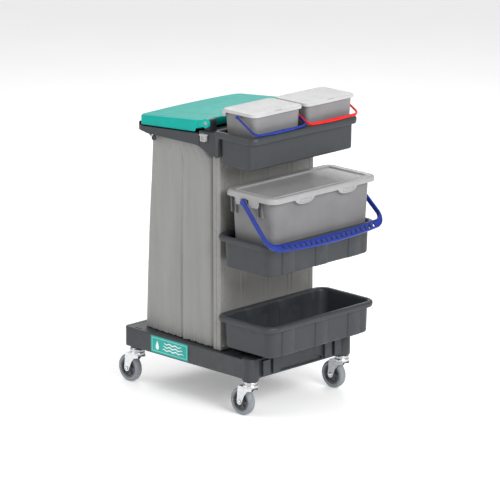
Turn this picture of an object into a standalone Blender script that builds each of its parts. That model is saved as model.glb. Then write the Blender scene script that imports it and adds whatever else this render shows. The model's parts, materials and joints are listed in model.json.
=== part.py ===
"""Housekeeping cart: a wheeled base, a column with three trays, a lidded waste bag and three buckets.

The chassis frame has its origin on the floor at the centre of the four caster swivels. +X points to
the tray end, -Y to the labelled side and +Z up. Everything hangs from one empty, which brings the
centre of the whole cart's length to the origin. Metres throughout.
"""
from math import cos, pi, radians, sin

import bmesh
import bpy
from mathutils import Vector

GAP = 0.0003                    # air between two faces that touch
CORNER_STEPS = 4                # facets of a rounded corner
ROUND_STEPS = 24                # facets of a wheel

# Casters
WHEEL_R = 0.050
TYRE_WIDTH = 0.027
RIM_R = WHEEL_R - 0.014         # outside of the wheel centre, inside of the tyre
HUB_WIDTH = 0.029
HUB_BOSS_R = 0.012
WEB_THICKNESS = 0.008
AXLE_R = 0.004
AXLE_HEAD_R = 0.0075
AXLE_HEAD = 0.004
TRAIL = 0.0376                  # swivel axis to axle
FORK_INSIDE = TYRE_WIDTH + 0.006  # clear width between the fork's legs
FORK_PLATE = 0.0025
FORK_FOOT_R = 0.0115
CROWN_BOTTOM = 2 * WHEEL_R + 0.005
FORK_TOP = CROWN_BOTTOM + 0.017
HEAD_R = 0.0275
KINGPIN_R = 0.006
KINGPIN_NUT_R = 0.010
KINGPIN_NUT = 0.006
RUNNING = 0.0004                # radial clearance of what turns on a pin

# Base
POST_BOTTOM = FORK_TOP + 0.010
BASE_BOTTOM = POST_BOTTOM + 0.006
BASE_DEPTH = 0.069
BASE_TOP = BASE_BOTTOM + BASE_DEPTH
POST_TOP = BASE_TOP + 0.0055
BASE_LIP = 0.006                # bevelled top edge
BASE_TRAY_END = 0.302
BASE_HALF_WIDTH = 0.252
SWIVEL_X = BASE_TRAY_END - 0.018
SWIVEL_Y = BASE_HALF_WIDTH - 0.025
BASE_BAG_END = -SWIVEL_X - 0.0445
BASE_CORNER_R = 0.020
BASE_WALL = 0.004
POST_R = 0.030                  # round corner posts at the tray end
BOSS_R = 0.0245                 # caster bosses at the bag end, inside the skirt
WELL_X = (BASE_TRAY_END - 0.142, BASE_TRAY_END - 0.020)
WELL_HALF_WIDTH = BASE_HALF_WIDTH - 0.062
WELL_FLOOR = BASE_BOTTOM + 0.022
HOOK_CENTRES = (BASE_HALF_WIDTH - 0.1235, BASE_HALF_WIDTH - 0.0745)  # on both sides of the tray end
HOOK_WIDTH = 0.034
HOOK_PROUD = 0.010
HOOK_Z = (BASE_BOTTOM + 0.012, BASE_TOP - 0.011)
LABEL_X = (BASE_BAG_END + 0.1415, BASE_BAG_END + 0.3285)
LABEL_Z = (BASE_BOTTOM + 0.004, BASE_TOP - 0.0045)
LABEL_THICKNESS = 0.0012
LABEL_R = 0.003

# Column
COLUMN_DEPTH = 0.0369
COLUMN_FRONT = BASE_TRAY_END - 0.1624
COLUMN_X = (COLUMN_FRONT - COLUMN_DEPTH, COLUMN_FRONT)
COLUMN_HALF_WIDTH = BASE_HALF_WIDTH - 0.0216
COLUMN_TOP = 0.960
COLUMN_WALL = 0.003
RIB_PROUD = 0.002
RIB_WIDTH = 0.012
RIB_BEVEL = 0.002
RIB_PITCH = 0.022               # between the two ribs of a pair
RIB_PAIRS = (-0.116, 0.0, 0.116)
SCREW_R = 0.004
SCREW_HEAD = 0.003

# Lower trays, which are two of one moulding
TRAY_RIM_X = (COLUMN_FRONT + 0.0039, COLUMN_FRONT + 0.2804)
TRAY_RIM_HALF = BASE_HALF_WIDTH + 0.019
TRAY_RIM_R = 0.050
TRAY_BODY_X = (TRAY_RIM_X[0] + 0.0225, TRAY_RIM_X[1] - 0.0165)
TRAY_BODY_HALF = TRAY_RIM_HALF - 0.020
TRAY_BODY_R = TRAY_RIM_R - 0.015
TRAY_TAPER = 0.003              # inset of the floor from the top of the wall
TRAY_DEPTH = 0.1145
TRAY_FLOOR_Z = BASE_TOP + 0.0265  # underside of the lowest tray
TRAY_PITCH = 0.2875
TRAY_WALL = 0.003
FOOT_ROUND = 0.006
RIM_DEPTH = 0.021
RIM_WIDTH = 0.019
RIM_ROUND = 0.005
PLEAT_PROUD = 0.003
PLEAT_WIDTH = 0.060
PLEAT_BEVEL = 0.003
PLEAT_CENTRES = (0.088 - TRAY_BODY_HALF, 0.0, TRAY_BODY_HALF - 0.088)
BRACKET_HALF = 0.150
BRACKET_DEPTH = 0.030

# Top tray
TOP_RIM_X = (COLUMN_FRONT + 0.0039, COLUMN_FRONT + 0.1934)
TOP_RIM_HALF = BASE_HALF_WIDTH + 0.0096
TOP_RIM_R = (0.030, 0.006)      # tray end, column end
TOP_BODY_R = (0.018, 0.032)
TOP_MOUTH_R = (0.014, 0.006)
TOP_BODY_X = (TOP_RIM_X[0] + 0.0045, TOP_RIM_X[1] - 0.0215)
TOP_BODY_HALF = TOP_RIM_HALF - 0.0091
TOP_TAPER = 0.0015
TOP_FLOOR_Z = COLUMN_TOP - 0.083
TOP_DEPTH = 0.117
TOP_RIM_DEPTH = 0.025
TOP_RIM_WIDTH = 0.020
TOP_SIDE_RIM = 0.0138
TOP_BACK_RIM = 0.0075
GUSSET_LENGTH = 0.019
GUSSET_BOTTOM = TOP_FLOOR_Z + 0.023
TOP_BRACKET_Z = (TOP_FLOOR_Z + 0.013, TOP_FLOOR_Z + 0.013 + BRACKET_DEPTH)
# Height of each column screw, and its distance from the column's edge.
SCREW_PLACES = {"low": (BASE_TOP + 0.015, 0.012), "high": (TOP_FLOOR_Z - 0.0195, 0.0335)}

# Bag frame
FRAME_HALF_WIDTH = BASE_HALF_WIDTH - 0.002
FRAME_TIP_X = BASE_BAG_END + 0.0655
FRAME_HEAD_X = (COLUMN_X[0] - 0.0017, COLUMN_X[1] + 0.0009)
FRAME_MOUTH_X = (FRAME_TIP_X + 0.0475, FRAME_HEAD_X[0] - 0.035)
FRAME_MOUTH_HALF = FRAME_HALF_WIDTH - 0.0175
FRAME_HEAD_TOP = COLUMN_TOP + 0.020
FRAME_HEAD_DEPTH = 0.082
FRAME_LOW = FRAME_HEAD_TOP - 0.052
FRAME_TOP_SLOPE = 0.066         # rise of the rail's top towards the hinge
FRAME_CORNER_R = 0.034          # round corners in plan at the bag end
NOSE_LIP = 0.007                # thickness of the lip that stands up before the lid's edge
NOSE_LIP_TOP = FRAME_LOW + 0.032
COLUMN_SEAT_PLAY = 0.001
HINGE_X = FRAME_HEAD_X[0] - 0.0195
HINGE_Z = FRAME_HEAD_TOP + 0.0284
HINGE_PIN_R = 0.0070
EAR_R = 0.0165
EAR_Y = (FRAME_HALF_WIDTH - 0.0138, FRAME_HALF_WIDTH - 0.0050)
HINGE_BRACKET_Y = (EAR_Y[0] - 0.0362, EAR_Y[0] - 0.0012)
HINGE_BRACKET_HALF = 0.0125
LATCH_X = (FRAME_HEAD_X[0] - 0.031, FRAME_HEAD_X[0] - 0.001)
LATCH_Z = (FRAME_HEAD_TOP - 0.0325, FRAME_HEAD_TOP - 0.0065)
LATCH_PROUD = 0.012
LATCH_R = 0.003
BALL_HOOK_R = 0.0055
BALL_HOOK_XZ = (FRAME_TIP_X + 0.071, FRAME_LOW - BALL_HOOK_R)
CLIP_X = (FRAME_TIP_X + 0.083, FRAME_TIP_X + 0.103)
CLIP_Z = (FRAME_LOW - 0.0200, FRAME_LOW - 0.0018)
CLIP_THICKNESS = 0.006
CLIP_R = 0.004

# Main lid
LID_FREE_X = FRAME_TIP_X + 0.010
LID_HINGE_X = HINGE_X - 0.0195
LID_HALF_WIDTH = EAR_Y[1]
LID_CORNER_R = 0.028
LID_WALL = 0.003
LID_TOP_OVER_HINGE = 0.0088
LID_TOP_SLOPE = 0.0945
LID_LOW_UNDER_HINGE = 0.0332
LID_LOW_SLOPE = 0.0663
LID_CROWN = 0.009
LID_EDGE_ROUND = 0.004
LID_STEP_X = LID_HINGE_X - 0.032  # the skirt is shallower beyond this, above the rail's head
LID_STEP = 0.013
LID_SIDE_POINTS = ((LID_FREE_X + LID_STEP_X) / 2, LID_STEP_X - 0.018, LID_STEP_X + 0.0005)
EAR_ROOT_X = LID_HINGE_X - 0.012

# Waste bag
BAG_MOUTH_PLAY = 0.0015
BAG_X_TOP = (FRAME_MOUTH_X[0] + 0.0025, FRAME_MOUTH_X[1] - 0.0020)
BAG_X_SHOULDER = (BAG_X_TOP[0] - 0.003, COLUMN_X[0] - 0.0062)
BAG_X_LOW = (BASE_BAG_END + 0.0435, COLUMN_X[0] - 0.0032)
BAG_HALF_TOP = FRAME_MOUTH_HALF - BAG_MOUTH_PLAY
BAG_HALF_LOW = BAG_HALF_TOP - 0.007
BAG_BOTTOM = BASE_TOP + 0.0015
BAG_MOUTH = FRAME_LOW + 0.022
BAG_NECK = FRAME_LOW - 0.013
BAG_SHOULDER = BAG_NECK - 0.030
BAG_WALL = 0.002
BAG_R = 0.030

# Large bucket
LARGE_X = (TRAY_BODY_X[0] + 0.029, TRAY_BODY_X[1] + 0.005)
LARGE_HALF = TRAY_BODY_HALF - 0.0095
LARGE_TAPER = 0.0145
LARGE_BOTTOM = TRAY_FLOOR_Z + TRAY_PITCH + TRAY_WALL + GAP
LARGE_HEIGHT = 0.2657
LARGE_TOP = LARGE_BOTTOM + LARGE_HEIGHT
LARGE_R = 0.030
LARGE_WALL = 0.003
LARGE_FLANGE = 0.0080
LARGE_FLANGE_DEPTH = 0.008
LARGE_LID_X = (LARGE_X[0] - 0.012, LARGE_X[1] + 0.0155)
LARGE_LID_HALF = LARGE_HALF + 0.0185
LARGE_LID_TOP = LARGE_TOP + 0.010
LARGE_LID_SKIRT = 0.019
LARGE_LID_BORDER = 0.030
LARGE_LID_RECESS = 0.004
LARGE_LID_ROUND = 0.003
FRONT_TAB_CENTRE = 0.105
FRONT_TAB_WIDTH = 0.100
SIDE_TAB_X = (LARGE_X[0] + 0.047, LARGE_X[0] + 0.160)
TAB_DROP = 0.018
SIDE_TAB_DROP = 0.024
TAB_THICKNESS = 0.003
TAB_ROOT = 0.006
NOTCH_HALF = 0.015              # clears the handle's pivot in the side tab
LARGE_PIVOT = (LARGE_X[0] + 0.0919, LARGE_TOP - 0.0195)
LARGE_PIVOT_R = 0.006
LARGE_BOSS_R = 0.010
PIVOT_ROOT = 0.0025             # how deep a pivot starts in the bucket's wall
LARGE_ARM_HALF = LARGE_LID_HALF + 0.0065  # arm's middle at the pivot
LARGE_SPREAD_HALF = LARGE_ARM_HALF + 0.0125  # arm's middle at the corner
LARGE_REACH = 0.2034
LARGE_BOW = 0.012
LARGE_REST = radians(43.4)      # how far the handle hangs below level
LARGE_CORNER = 0.045
LARGE_ARM = (0.0080, 0.0190)    # across the cart, and along the swing
LARGE_BAR = (0.0300, 0.0110)    # along the reach, and along the swing
LARGE_EYE_R = LARGE_ARM[1] / 2 + 0.001
STRAP_FLAT = 0.6                # share of a strap's edge that stays flat between its bevels
SLOT_COUNT = 19
SLOT_LENGTH = 0.0155
SLOT_WIDTH = 0.0125

# Small buckets
SMALL_LID_X = (TOP_BODY_X[0], TOP_BODY_X[1] - 0.0005)
SMALL_LID_HALF = (TOP_RIM_HALF - 0.0206) / 2
SMALL_BODY_X = (SMALL_LID_X[0] + 0.006, SMALL_LID_X[1] - 0.006)
SMALL_BODY_HALF = SMALL_LID_HALF - 0.008
SMALL_TAPER = 0.011
SMALL_BOTTOM = TOP_FLOOR_Z + TRAY_WALL + GAP
SMALL_HEIGHT = 0.1842
SMALL_TOP = SMALL_BOTTOM + SMALL_HEIGHT
SMALL_R = 0.020
SMALL_WALL = 0.0025
SMALL_LID_TOP = SMALL_TOP + 0.0065
SMALL_LID_SKIRT = 0.011
SMALL_LID_PLATE = 0.002
SMALL_LID_ROUND = 0.0015
SMALL_HINGE = (SMALL_LID_X[0] + 0.015, SMALL_LID_TOP - 0.019)
SMALL_HINGE_PIN_R = 0.0025
SMALL_EAR_R = 0.0065
SMALL_PIVOT = (SMALL_LID_X[0] + 0.0823, SMALL_LID_TOP - 0.0186)
SMALL_PIVOT_R = 0.003
SMALL_ARM_PLAY = 0.0008
SMALL_ARM_HALF = SMALL_LID_HALF + 0.0035
SMALL_REACH = 0.1053
SMALL_BOW = 0.002
SMALL_REST = radians(29.3)
SMALL_CORNER = 0.022
SMALL_ARM = (0.0045, 0.0065)
SMALL_BAR = (0.0075, 0.0075)
SMALL_EYE_R = 0.0060
# How far along and across the cart each small bucket stands.
BUCKET_CENTRES = {"blue": (0.0, 0.006 - SMALL_LID_HALF), "red": (0.003, SMALL_LID_HALF + 0.0185)}

HANDLE_FRONT = (LARGE_PIVOT[0] + (LARGE_REACH + LARGE_BOW + LARGE_BAR[0] / 2) * cos(LARGE_REST)
                + STRAP_FLAT * LARGE_BAR[1] / 2 * sin(LARGE_REST))
CENTRE_X = (HANDLE_FRONT - SWIVEL_X - TRAIL - WHEEL_R) / 2

SIDES = {"left": -1, "right": 1}
ENDS = {"bag": -1, "tray": 1}


def material(name, colour, roughness, metallic=0.0):
    made = bpy.data.materials.new(name)
    made.use_nodes = True
    made.diffuse_color = (*colour, 1)
    shader = made.node_tree.nodes["Principled BSDF"]
    shader.inputs["Base Color"].default_value = (*colour, 1)
    shader.inputs["Roughness"].default_value = roughness
    shader.inputs["Metallic"].default_value = metallic
    return made


def front_and_back(radius):
    """Corner radii at the +X and the -X end, where one number stands for both."""
    return radius if isinstance(radius, tuple) else (radius, radius)


def rounded(x, half, radius, steps=CORNER_STEPS, y=0.0):
    """Plan outline of a box with round corners, anticlockwise from the +X side's low corner."""
    front, back = front_and_back(radius)
    corners = ((x[1] - front, y - half + front, front, -90), (x[1] - front, y + half - front, front, 0),
               (x[0] + back, y + half - back, back, 90), (x[0] + back, y - half + back, back, 180))
    points = []
    for cx, cy, radius, start in corners:
        for step in range(steps + 1):
            angle = radians(start + 90 * step / steps)
            points.append((cx + radius * cos(angle), cy + radius * sin(angle)))
    return points


def inset(x, half, radius, amount):
    """The same rounded box, smaller by amount all round."""
    radii = tuple(max(r - amount, 0.002) for r in front_and_back(radius))
    return (x[0] + amount, x[1] - amount), half - amount, radii


def at_height(points, z):
    """Lift a plan outline to z, a height or a function of x."""
    return [(x, y, z(x) if callable(z) else z) for x, y in points]


def circle(radius, z, steps=ROUND_STEPS, centre=(0.0, 0.0)):
    angles = [2 * pi * step / steps for step in range(steps)]
    return [(centre[0] + radius * cos(a), centre[1] + radius * sin(a), z) for a in angles]


def arc(centre, radius, first, last, steps):
    """Points along a circle from one angle to another, in degrees."""
    angles = [radians(first + (last - first) * step / steps) for step in range(steps + 1)]
    return [(centre[0] + radius * cos(a), centre[1] + radius * sin(a)) for a in angles]


def loft(rings, closed=False, bm=None):
    """Skin a run of equal rings. An open run is capped at both ends, a closed one joins up."""
    bm = bm or bmesh.new()
    loops = [[bm.verts.new(point) for point in ring] for ring in rings]
    pairs = list(zip(loops, loops[1:])) + ([(loops[-1], loops[0])] if closed else [])
    count = len(rings[0])
    for low, high in pairs:
        for i in range(count):
            j = (i + 1) % count
            bm.faces.new((low[i], low[j], high[j], high[i]))
    if not closed:
        bm.faces.new(list(reversed(loops[0])))
        bm.faces.new(loops[-1])
    return bm


def lathe_y(profile, steps=ROUND_STEPS, bm=None):
    """Turn a closed profile of (radius, y) about the Y axis."""
    rings = []
    for radius, y in profile:
        rings.append([(r, y, z) for r, z, _ in circle(radius, 0, steps)])
    return loft(rings, closed=True, bm=bm)


def prism_y(outline, y0, y1, bm=None):
    """Extrude an outline of (x, z) along Y."""
    return loft([[(x, y, z) for x, z in outline] for y in (y0, y1)], bm=bm)


def prism_x(outline, x0, x1, bm=None):
    """Extrude an outline of (y, z) along X."""
    return loft([[(x, y, z) for y, z in outline] for x in (x0, x1)], bm=bm)


def box(x, y, z, bm=None):
    outline = [(x[0], y[0]), (x[1], y[0]), (x[1], y[1]), (x[0], y[1])]
    return loft([at_height(outline, z[0]), at_height(outline, z[1])], bm=bm)


def rod_y(centre, radius, y0, y1, steps=12, bm=None):
    """A cylinder along Y through (x, z)."""
    return prism_y([(centre[0] + x, centre[1] + z) for x, z, _ in circle(radius, 0, steps)], y0, y1, bm=bm)


def side_range(side, near, far):
    """A stretch across the cart on one side of it, low end first."""
    return tuple(sorted((side * near, side * far)))


def place(name, bm, finish, origin=(0.0, 0.0, 0.0), shift=(0.0, 0.0, 0.0)):
    """Make an object of a mesh drawn in chassis coordinates, with its own origin on origin."""
    bmesh.ops.translate(bm, verts=bm.verts, vec=Vector(shift) - Vector(origin))
    bmesh.ops.recalc_face_normals(bm, faces=bm.faces)
    mesh = bpy.data.meshes.new(name)
    bm.to_mesh(mesh)
    bm.free()
    mesh.shade_smooth()
    mesh.set_sharp_from_angle(angle=radians(35))
    made = bpy.data.objects.new(name, mesh)
    made.location = origin
    made.parent = CHASSIS
    bpy.context.collection.objects.link(made)
    if finish:
        mesh.materials.append(finish)
    return made


def combine(target, operation, name, bm):
    """Join to target, or cut from it, a tool mesh drawn in chassis coordinates."""
    tool = place(name, bm, None, origin=target.location)
    tool.hide_render = True
    tool.display_type = "WIRE"
    step = target.modifiers.new(name, "BOOLEAN")
    step.operation = operation
    step.object = tool
    step.solver = "EXACT"


def caster(end_name, end, side_name, side):
    """One swivel caster: the fixed head and kingpin, and the fork with its axle, wheel and tyre."""
    tag = f"{end_name}_{side_name}"
    swivel = (end * SWIVEL_X, side * SWIVEL_Y, 0.0)
    axle = (swivel[0] - TRAIL, swivel[1], WHEEL_R)

    nut = (CROWN_BOTTOM - GAP - KINGPIN_NUT, CROWN_BOTTOM - GAP)
    head = loft([circle(KINGPIN_NUT_R, nut[0], 12), circle(KINGPIN_NUT_R, nut[1], 12),
                 circle(KINGPIN_R, nut[1], 12), circle(KINGPIN_R, FORK_TOP + GAP, 12),
                 circle(HEAD_R, FORK_TOP + GAP, 12), circle(HEAD_R, POST_BOTTOM - GAP, 12)])
    place(f"caster_head_{tag}", head, ZINC, origin=swivel, shift=swivel)

    outer = FORK_INSIDE / 2 + FORK_PLATE
    top = CROWN_BOTTOM + FORK_PLATE
    foot = arc((-TRAIL, WHEEL_R), FORK_FOOT_R, 175, 335, 6)
    shoulder = [(0.021, top), (-TRAIL - 0.0054, top), (-TRAIL - 0.0074, CROWN_BOTTOM - 0.003)]
    cheek = shoulder + foot + [(0.001, CROWN_BOTTOM - 0.012), (0.021, CROWN_BOTTOM - 0.008)]
    fork = place(f"caster_fork_{tag}", prism_y(cheek, -outer, outer), ZINC, origin=swivel, shift=swivel)
    reach = TRAIL + WHEEL_R + HEAD_R
    wheel_space = box((-reach, reach), (-FORK_INSIDE / 2, FORK_INSIDE / 2), (0.0, CROWN_BOTTOM))
    bmesh.ops.translate(wheel_space, verts=wheel_space.verts, vec=swivel)
    combine(fork, "DIFFERENCE", f"wheel_space_{tag}", wheel_space)
    crown = loft([circle(HEAD_R, CROWN_BOTTOM + 0.001, 16, swivel), circle(HEAD_R, FORK_TOP, 16, swivel)])
    combine(fork, "UNION", f"crown_{tag}", crown)
    bore = loft([circle(KINGPIN_R + RUNNING, z, 12, swivel) for z in (WHEEL_R, FORK_TOP + 0.01)])
    combine(fork, "DIFFERENCE", f"kingpin_bore_{tag}", bore)
    axle_bore = rod_y((axle[0], axle[2]), AXLE_R + GAP, axle[1] - 2 * outer, axle[1] + 2 * outer)
    combine(fork, "DIFFERENCE", f"axle_bore_{tag}", axle_bore)

    seat = outer + GAP
    end_y = seat + AXLE_HEAD
    bolt = [(AXLE_HEAD_R, -end_y), (AXLE_HEAD_R, -seat), (AXLE_R, -seat),
            (AXLE_R, seat), (AXLE_HEAD_R, seat), (AXLE_HEAD_R, end_y)]
    bolt_rings = [[(r, y, z) for r, z, _ in circle(radius, 0, 12)] for radius, y in bolt]
    place(f"caster_axle_{tag}", loft(bolt_rings), ZINC, origin=axle, shift=axle)

    boss, web, rim = HUB_WIDTH / 2, WEB_THICKNESS / 2, TYRE_WIDTH / 2 - 0.001
    half = [(AXLE_R + RUNNING, boss), (HUB_BOSS_R, boss), (HUB_BOSS_R + 0.001, web),
            (RIM_R - 0.006, web), (RIM_R - 0.005, rim), (RIM_R - GAP, rim)]
    hub = half + [(radius, -y) for radius, y in reversed(half)]
    place(f"wheel_hub_{tag}", lathe_y(hub), GREY_HUB, origin=axle, shift=axle)

    tread = [(RIM_R, TYRE_WIDTH / 2 - 0.001), (WHEEL_R - 0.006, TYRE_WIDTH / 2),
             (WHEEL_R - 0.0015, TYRE_WIDTH / 2 - 0.004), (WHEEL_R, TYRE_WIDTH / 2 - 0.008)]
    tyre = tread + [(radius, -y) for radius, y in reversed(tread)]
    place(f"wheel_tyre_{tag}", lathe_y(tyre), GREY_TYRE, origin=axle, shift=axle)


def base():
    """The moulded base: a skirted deck with a well under the lowest tray and hooks on its end."""
    def plan(amount):
        x, half, radius = inset((BASE_BAG_END, BASE_TRAY_END), BASE_HALF_WIDTH, BASE_CORNER_R, amount)
        return rounded(x, half, radius, 5)

    slab = loft([at_height(plan(0.0), BASE_BOTTOM), at_height(plan(0.0), BASE_TOP - BASE_LIP),
                 at_height(plan(BASE_LIP), BASE_TOP)])
    body = place("base_frame", slab, DARK_PLASTIC)
    hollow = loft([at_height(plan(BASE_WALL), BASE_BOTTOM - 0.01),
                   at_height(plan(BASE_WALL), BASE_TOP - BASE_LIP - BASE_WALL)])
    combine(body, "DIFFERENCE", "underside", hollow)
    for end_name, end in ENDS.items():
        radius, top = (POST_R, POST_TOP) if end > 0 else (BOSS_R, BASE_TOP - BASE_LIP)
        for side_name, side in SIDES.items():
            centre = (end * SWIVEL_X, side * SWIVEL_Y)
            post = loft([circle(radius, POST_BOTTOM, 20, centre), circle(radius, top, 20, centre)])
            combine(body, "UNION", f"post_{end_name}_{side_name}", post)
    x, half = WELL_X, WELL_HALF_WIDTH
    wall = BASE_WALL
    block_x, block_y = (x[0] - wall, x[1] + wall), (-half - wall, half + wall)
    combine(body, "UNION", "well_block", box(block_x, block_y, (WELL_FLOOR - wall, BASE_TOP - 0.002)))
    combine(body, "DIFFERENCE", "well", box(x, (-half, half), (WELL_FLOOR, BASE_TOP + 0.02)))
    for side_name, side in SIDES.items():
        for number, centre in enumerate(HOOK_CENTRES, 1):
            low, high = side * centre - HOOK_WIDTH / 2, side * centre + HOOK_WIDTH / 2
            hook = box((BASE_TRAY_END - 0.002, BASE_TRAY_END + HOOK_PROUD), (low, high), HOOK_Z)
            combine(body, "UNION", f"hook_{side_name}_{number}", hook)


def label():
    y = (-BASE_HALF_WIDTH - GAP - LABEL_THICKNESS, -BASE_HALF_WIDTH - GAP)
    place("side_label", prism_y(rounded_xz(LABEL_X, LABEL_Z, LABEL_R), *y), TEAL_PRINT)


def rounded_xz(x, z, radius, steps=3):
    """Outline of (x, z) for a box with round corners."""
    middle, half = (z[0] + z[1]) / 2, (z[1] - z[0]) / 2
    return rounded(x, half, radius, steps, y=middle)


def column():
    """The hollow column, open underneath, with pairs of ribs down its tray side."""
    back, front = COLUMN_X
    half = COLUMN_HALF_WIDTH
    outline = [(back, half), (back, -half), (front, -half)]
    for pair in RIB_PAIRS:
        for centre in (pair - RIB_PITCH / 2, pair + RIB_PITCH / 2):
            low, high = centre - RIB_WIDTH / 2, centre + RIB_WIDTH / 2
            outline += [(front, low), (front + RIB_PROUD, low + RIB_BEVEL),
                        (front + RIB_PROUD, high - RIB_BEVEL), (front, high)]
    outline.append((front, half))
    inner_top = COLUMN_TOP - COLUMN_WALL
    bottom = BASE_TOP + GAP
    shell = place("column_panel", loft([at_height(outline, bottom), at_height(outline, COLUMN_TOP)]), GREIGE)
    x = (back + COLUMN_WALL, front - COLUMN_WALL)
    y = (COLUMN_WALL - half, half - COLUMN_WALL)
    combine(shell, "DIFFERENCE", "column_hollow", box(x, y, (bottom - 0.01, inner_top)))

    for side_name, side in SIDES.items():
        for level, (z, edge) in SCREW_PLACES.items():
            y = side * (half - edge)
            rings = [[(sx, y + ry, z + rz) for ry, rz, _ in circle(SCREW_R, 0, 10)]
                     for sx in (front + GAP, front + GAP + SCREW_HEAD)]
            place(f"column_screw_{level}_{side_name}", loft(rings), PALE_PLASTIC)


def with_pleats(points, x_front, x_back, proud):
    """Add outward pleats to the two long walls of a tray's outline of (x, y)."""
    count = len(points) // 4
    quarters = [points[i * count:(i + 1) * count] for i in range(4)]
    bevel = PLEAT_BEVEL
    front, back = [], []
    for centre in PLEAT_CENTRES:
        low, high = centre - PLEAT_WIDTH / 2, centre + PLEAT_WIDTH / 2
        for wall, x, out in ((front, x_front, proud), (back, x_back, -proud)):
            wall += [(x, low), (x + out, low + bevel), (x + out, high - bevel), (x, high)]
    return quarters[0] + front + quarters[1] + quarters[2] + back[::-1] + quarters[3]


def with_side_points(points, stations):
    """Add points at given x to the two straight sides of an outline of (x, y)."""
    count = len(points) // 4
    quarters = [points[i * count:(i + 1) * count] for i in range(4)]
    half = quarters[1][-1][1]
    left = [(x, -half) for x in stations]
    right = [(x, half) for x in reversed(stations)]
    return quarters[0] + quarters[1] + right + quarters[2] + quarters[3] + left


def lower_tray(name, bottom):
    """A deep tray with a heavy rim and pleated long walls."""
    top = bottom + TRAY_DEPTH
    body = (TRAY_BODY_X, TRAY_BODY_HALF, TRAY_BODY_R)
    rim = (TRAY_RIM_X, TRAY_RIM_HALF, TRAY_RIM_R)
    mouth_x = (TRAY_RIM_X[0] + RIM_WIDTH + 0.004, TRAY_RIM_X[1] - RIM_WIDTH)
    mouth = (mouth_x, TRAY_RIM_HALF - RIM_WIDTH, TRAY_RIM_R - RIM_WIDTH)
    floor = inset(*body, TRAY_TAPER + TRAY_WALL)

    def ring(shape, z, proud=0.0):
        x, half, radius = shape
        return at_height(with_pleats(rounded(x, half, radius), x[1], x[0], proud), z)

    rings = [ring(inset(*body, TRAY_TAPER + FOOT_ROUND), bottom),
             ring(inset(*body, TRAY_TAPER), bottom + FOOT_ROUND, PLEAT_PROUD),
             ring(body, top - RIM_DEPTH + 0.002, PLEAT_PROUD),
             ring(rim, top - RIM_DEPTH), ring(rim, top - RIM_ROUND),
             ring(inset(*rim, RIM_ROUND), top), ring(inset(*mouth, -RIM_ROUND), top),
             ring(mouth, top - RIM_ROUND), ring(inset(*body, TRAY_WALL), top - RIM_DEPTH),
             ring(floor, bottom + TRAY_WALL + FOOT_ROUND),
             ring(inset(*floor, FOOT_ROUND), bottom + TRAY_WALL)]
    place(name, loft(rings), DARK_PLASTIC)

    bracket_z = (top - RIM_DEPTH - GAP - BRACKET_DEPTH, top - RIM_DEPTH - GAP)
    bracket_x = (COLUMN_X[1] + RIB_PROUD + GAP, TRAY_BODY_X[0] - PLEAT_PROUD - GAP)
    place(f"{name}_bracket", box(bracket_x, (-BRACKET_HALF, BRACKET_HALF), bracket_z), DARK_PLASTIC)


def top_tray():
    """The shallower tray that holds the small buckets, with a gusset down each back corner."""
    top = TOP_FLOOR_Z + TOP_DEPTH
    body = (TOP_BODY_X, TOP_BODY_HALF, TOP_BODY_R)
    rim = (TOP_RIM_X, TOP_RIM_HALF, TOP_RIM_R)
    mouth_x = (TOP_RIM_X[0] + TOP_BACK_RIM, TOP_RIM_X[1] - TOP_RIM_WIDTH)
    mouth = (mouth_x, TOP_RIM_HALF - TOP_SIDE_RIM, TOP_MOUTH_R)
    foot = inset(*body, TOP_TAPER)
    floor = inset(*body, TOP_TAPER + TRAY_WALL)

    def ring(shape, z):
        return at_height(rounded(*shape), z)

    inner_floor = TOP_FLOOR_Z + TRAY_WALL
    rings = [ring(inset(*foot, FOOT_ROUND), TOP_FLOOR_Z), ring(foot, TOP_FLOOR_Z + FOOT_ROUND),
             ring(body, top - TOP_RIM_DEPTH + 0.002), ring(rim, top - TOP_RIM_DEPTH),
             ring(rim, top - RIM_ROUND), ring(inset(*rim, 0.003), top),
             ring(inset(*mouth, -0.003), top), ring(mouth, top - RIM_ROUND),
             ring(inset(*body, TRAY_WALL), top - TOP_RIM_DEPTH),
             ring(floor, inner_floor + FOOT_ROUND), ring(inset(*floor, FOOT_ROUND), inner_floor)]
    tray = place("top_tray", loft(rings), DARK_PLASTIC)
    for side_name, side in SIDES.items():
        y = side_range(side, TOP_BODY_HALF - 0.0025, TOP_RIM_HALF - 0.002)
        x = (TOP_RIM_X[0] + 0.002, TOP_RIM_X[0] + GUSSET_LENGTH)
        combine(tray, "UNION", f"gusset_{side_name}", box(x, y, (GUSSET_BOTTOM, top - TOP_RIM_DEPTH + 0.005)))
    bracket_x = (COLUMN_X[1] + RIB_PROUD + GAP, TOP_BODY_X[0] - GAP)
    place("top_tray_bracket", box(bracket_x, (-BRACKET_HALF, BRACKET_HALF), TOP_BRACKET_Z), DARK_PLASTIC)


def rail_top(x):
    return HINGE_Z - 0.03752 + FRAME_TOP_SLOPE * (x - HINGE_X)


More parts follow.
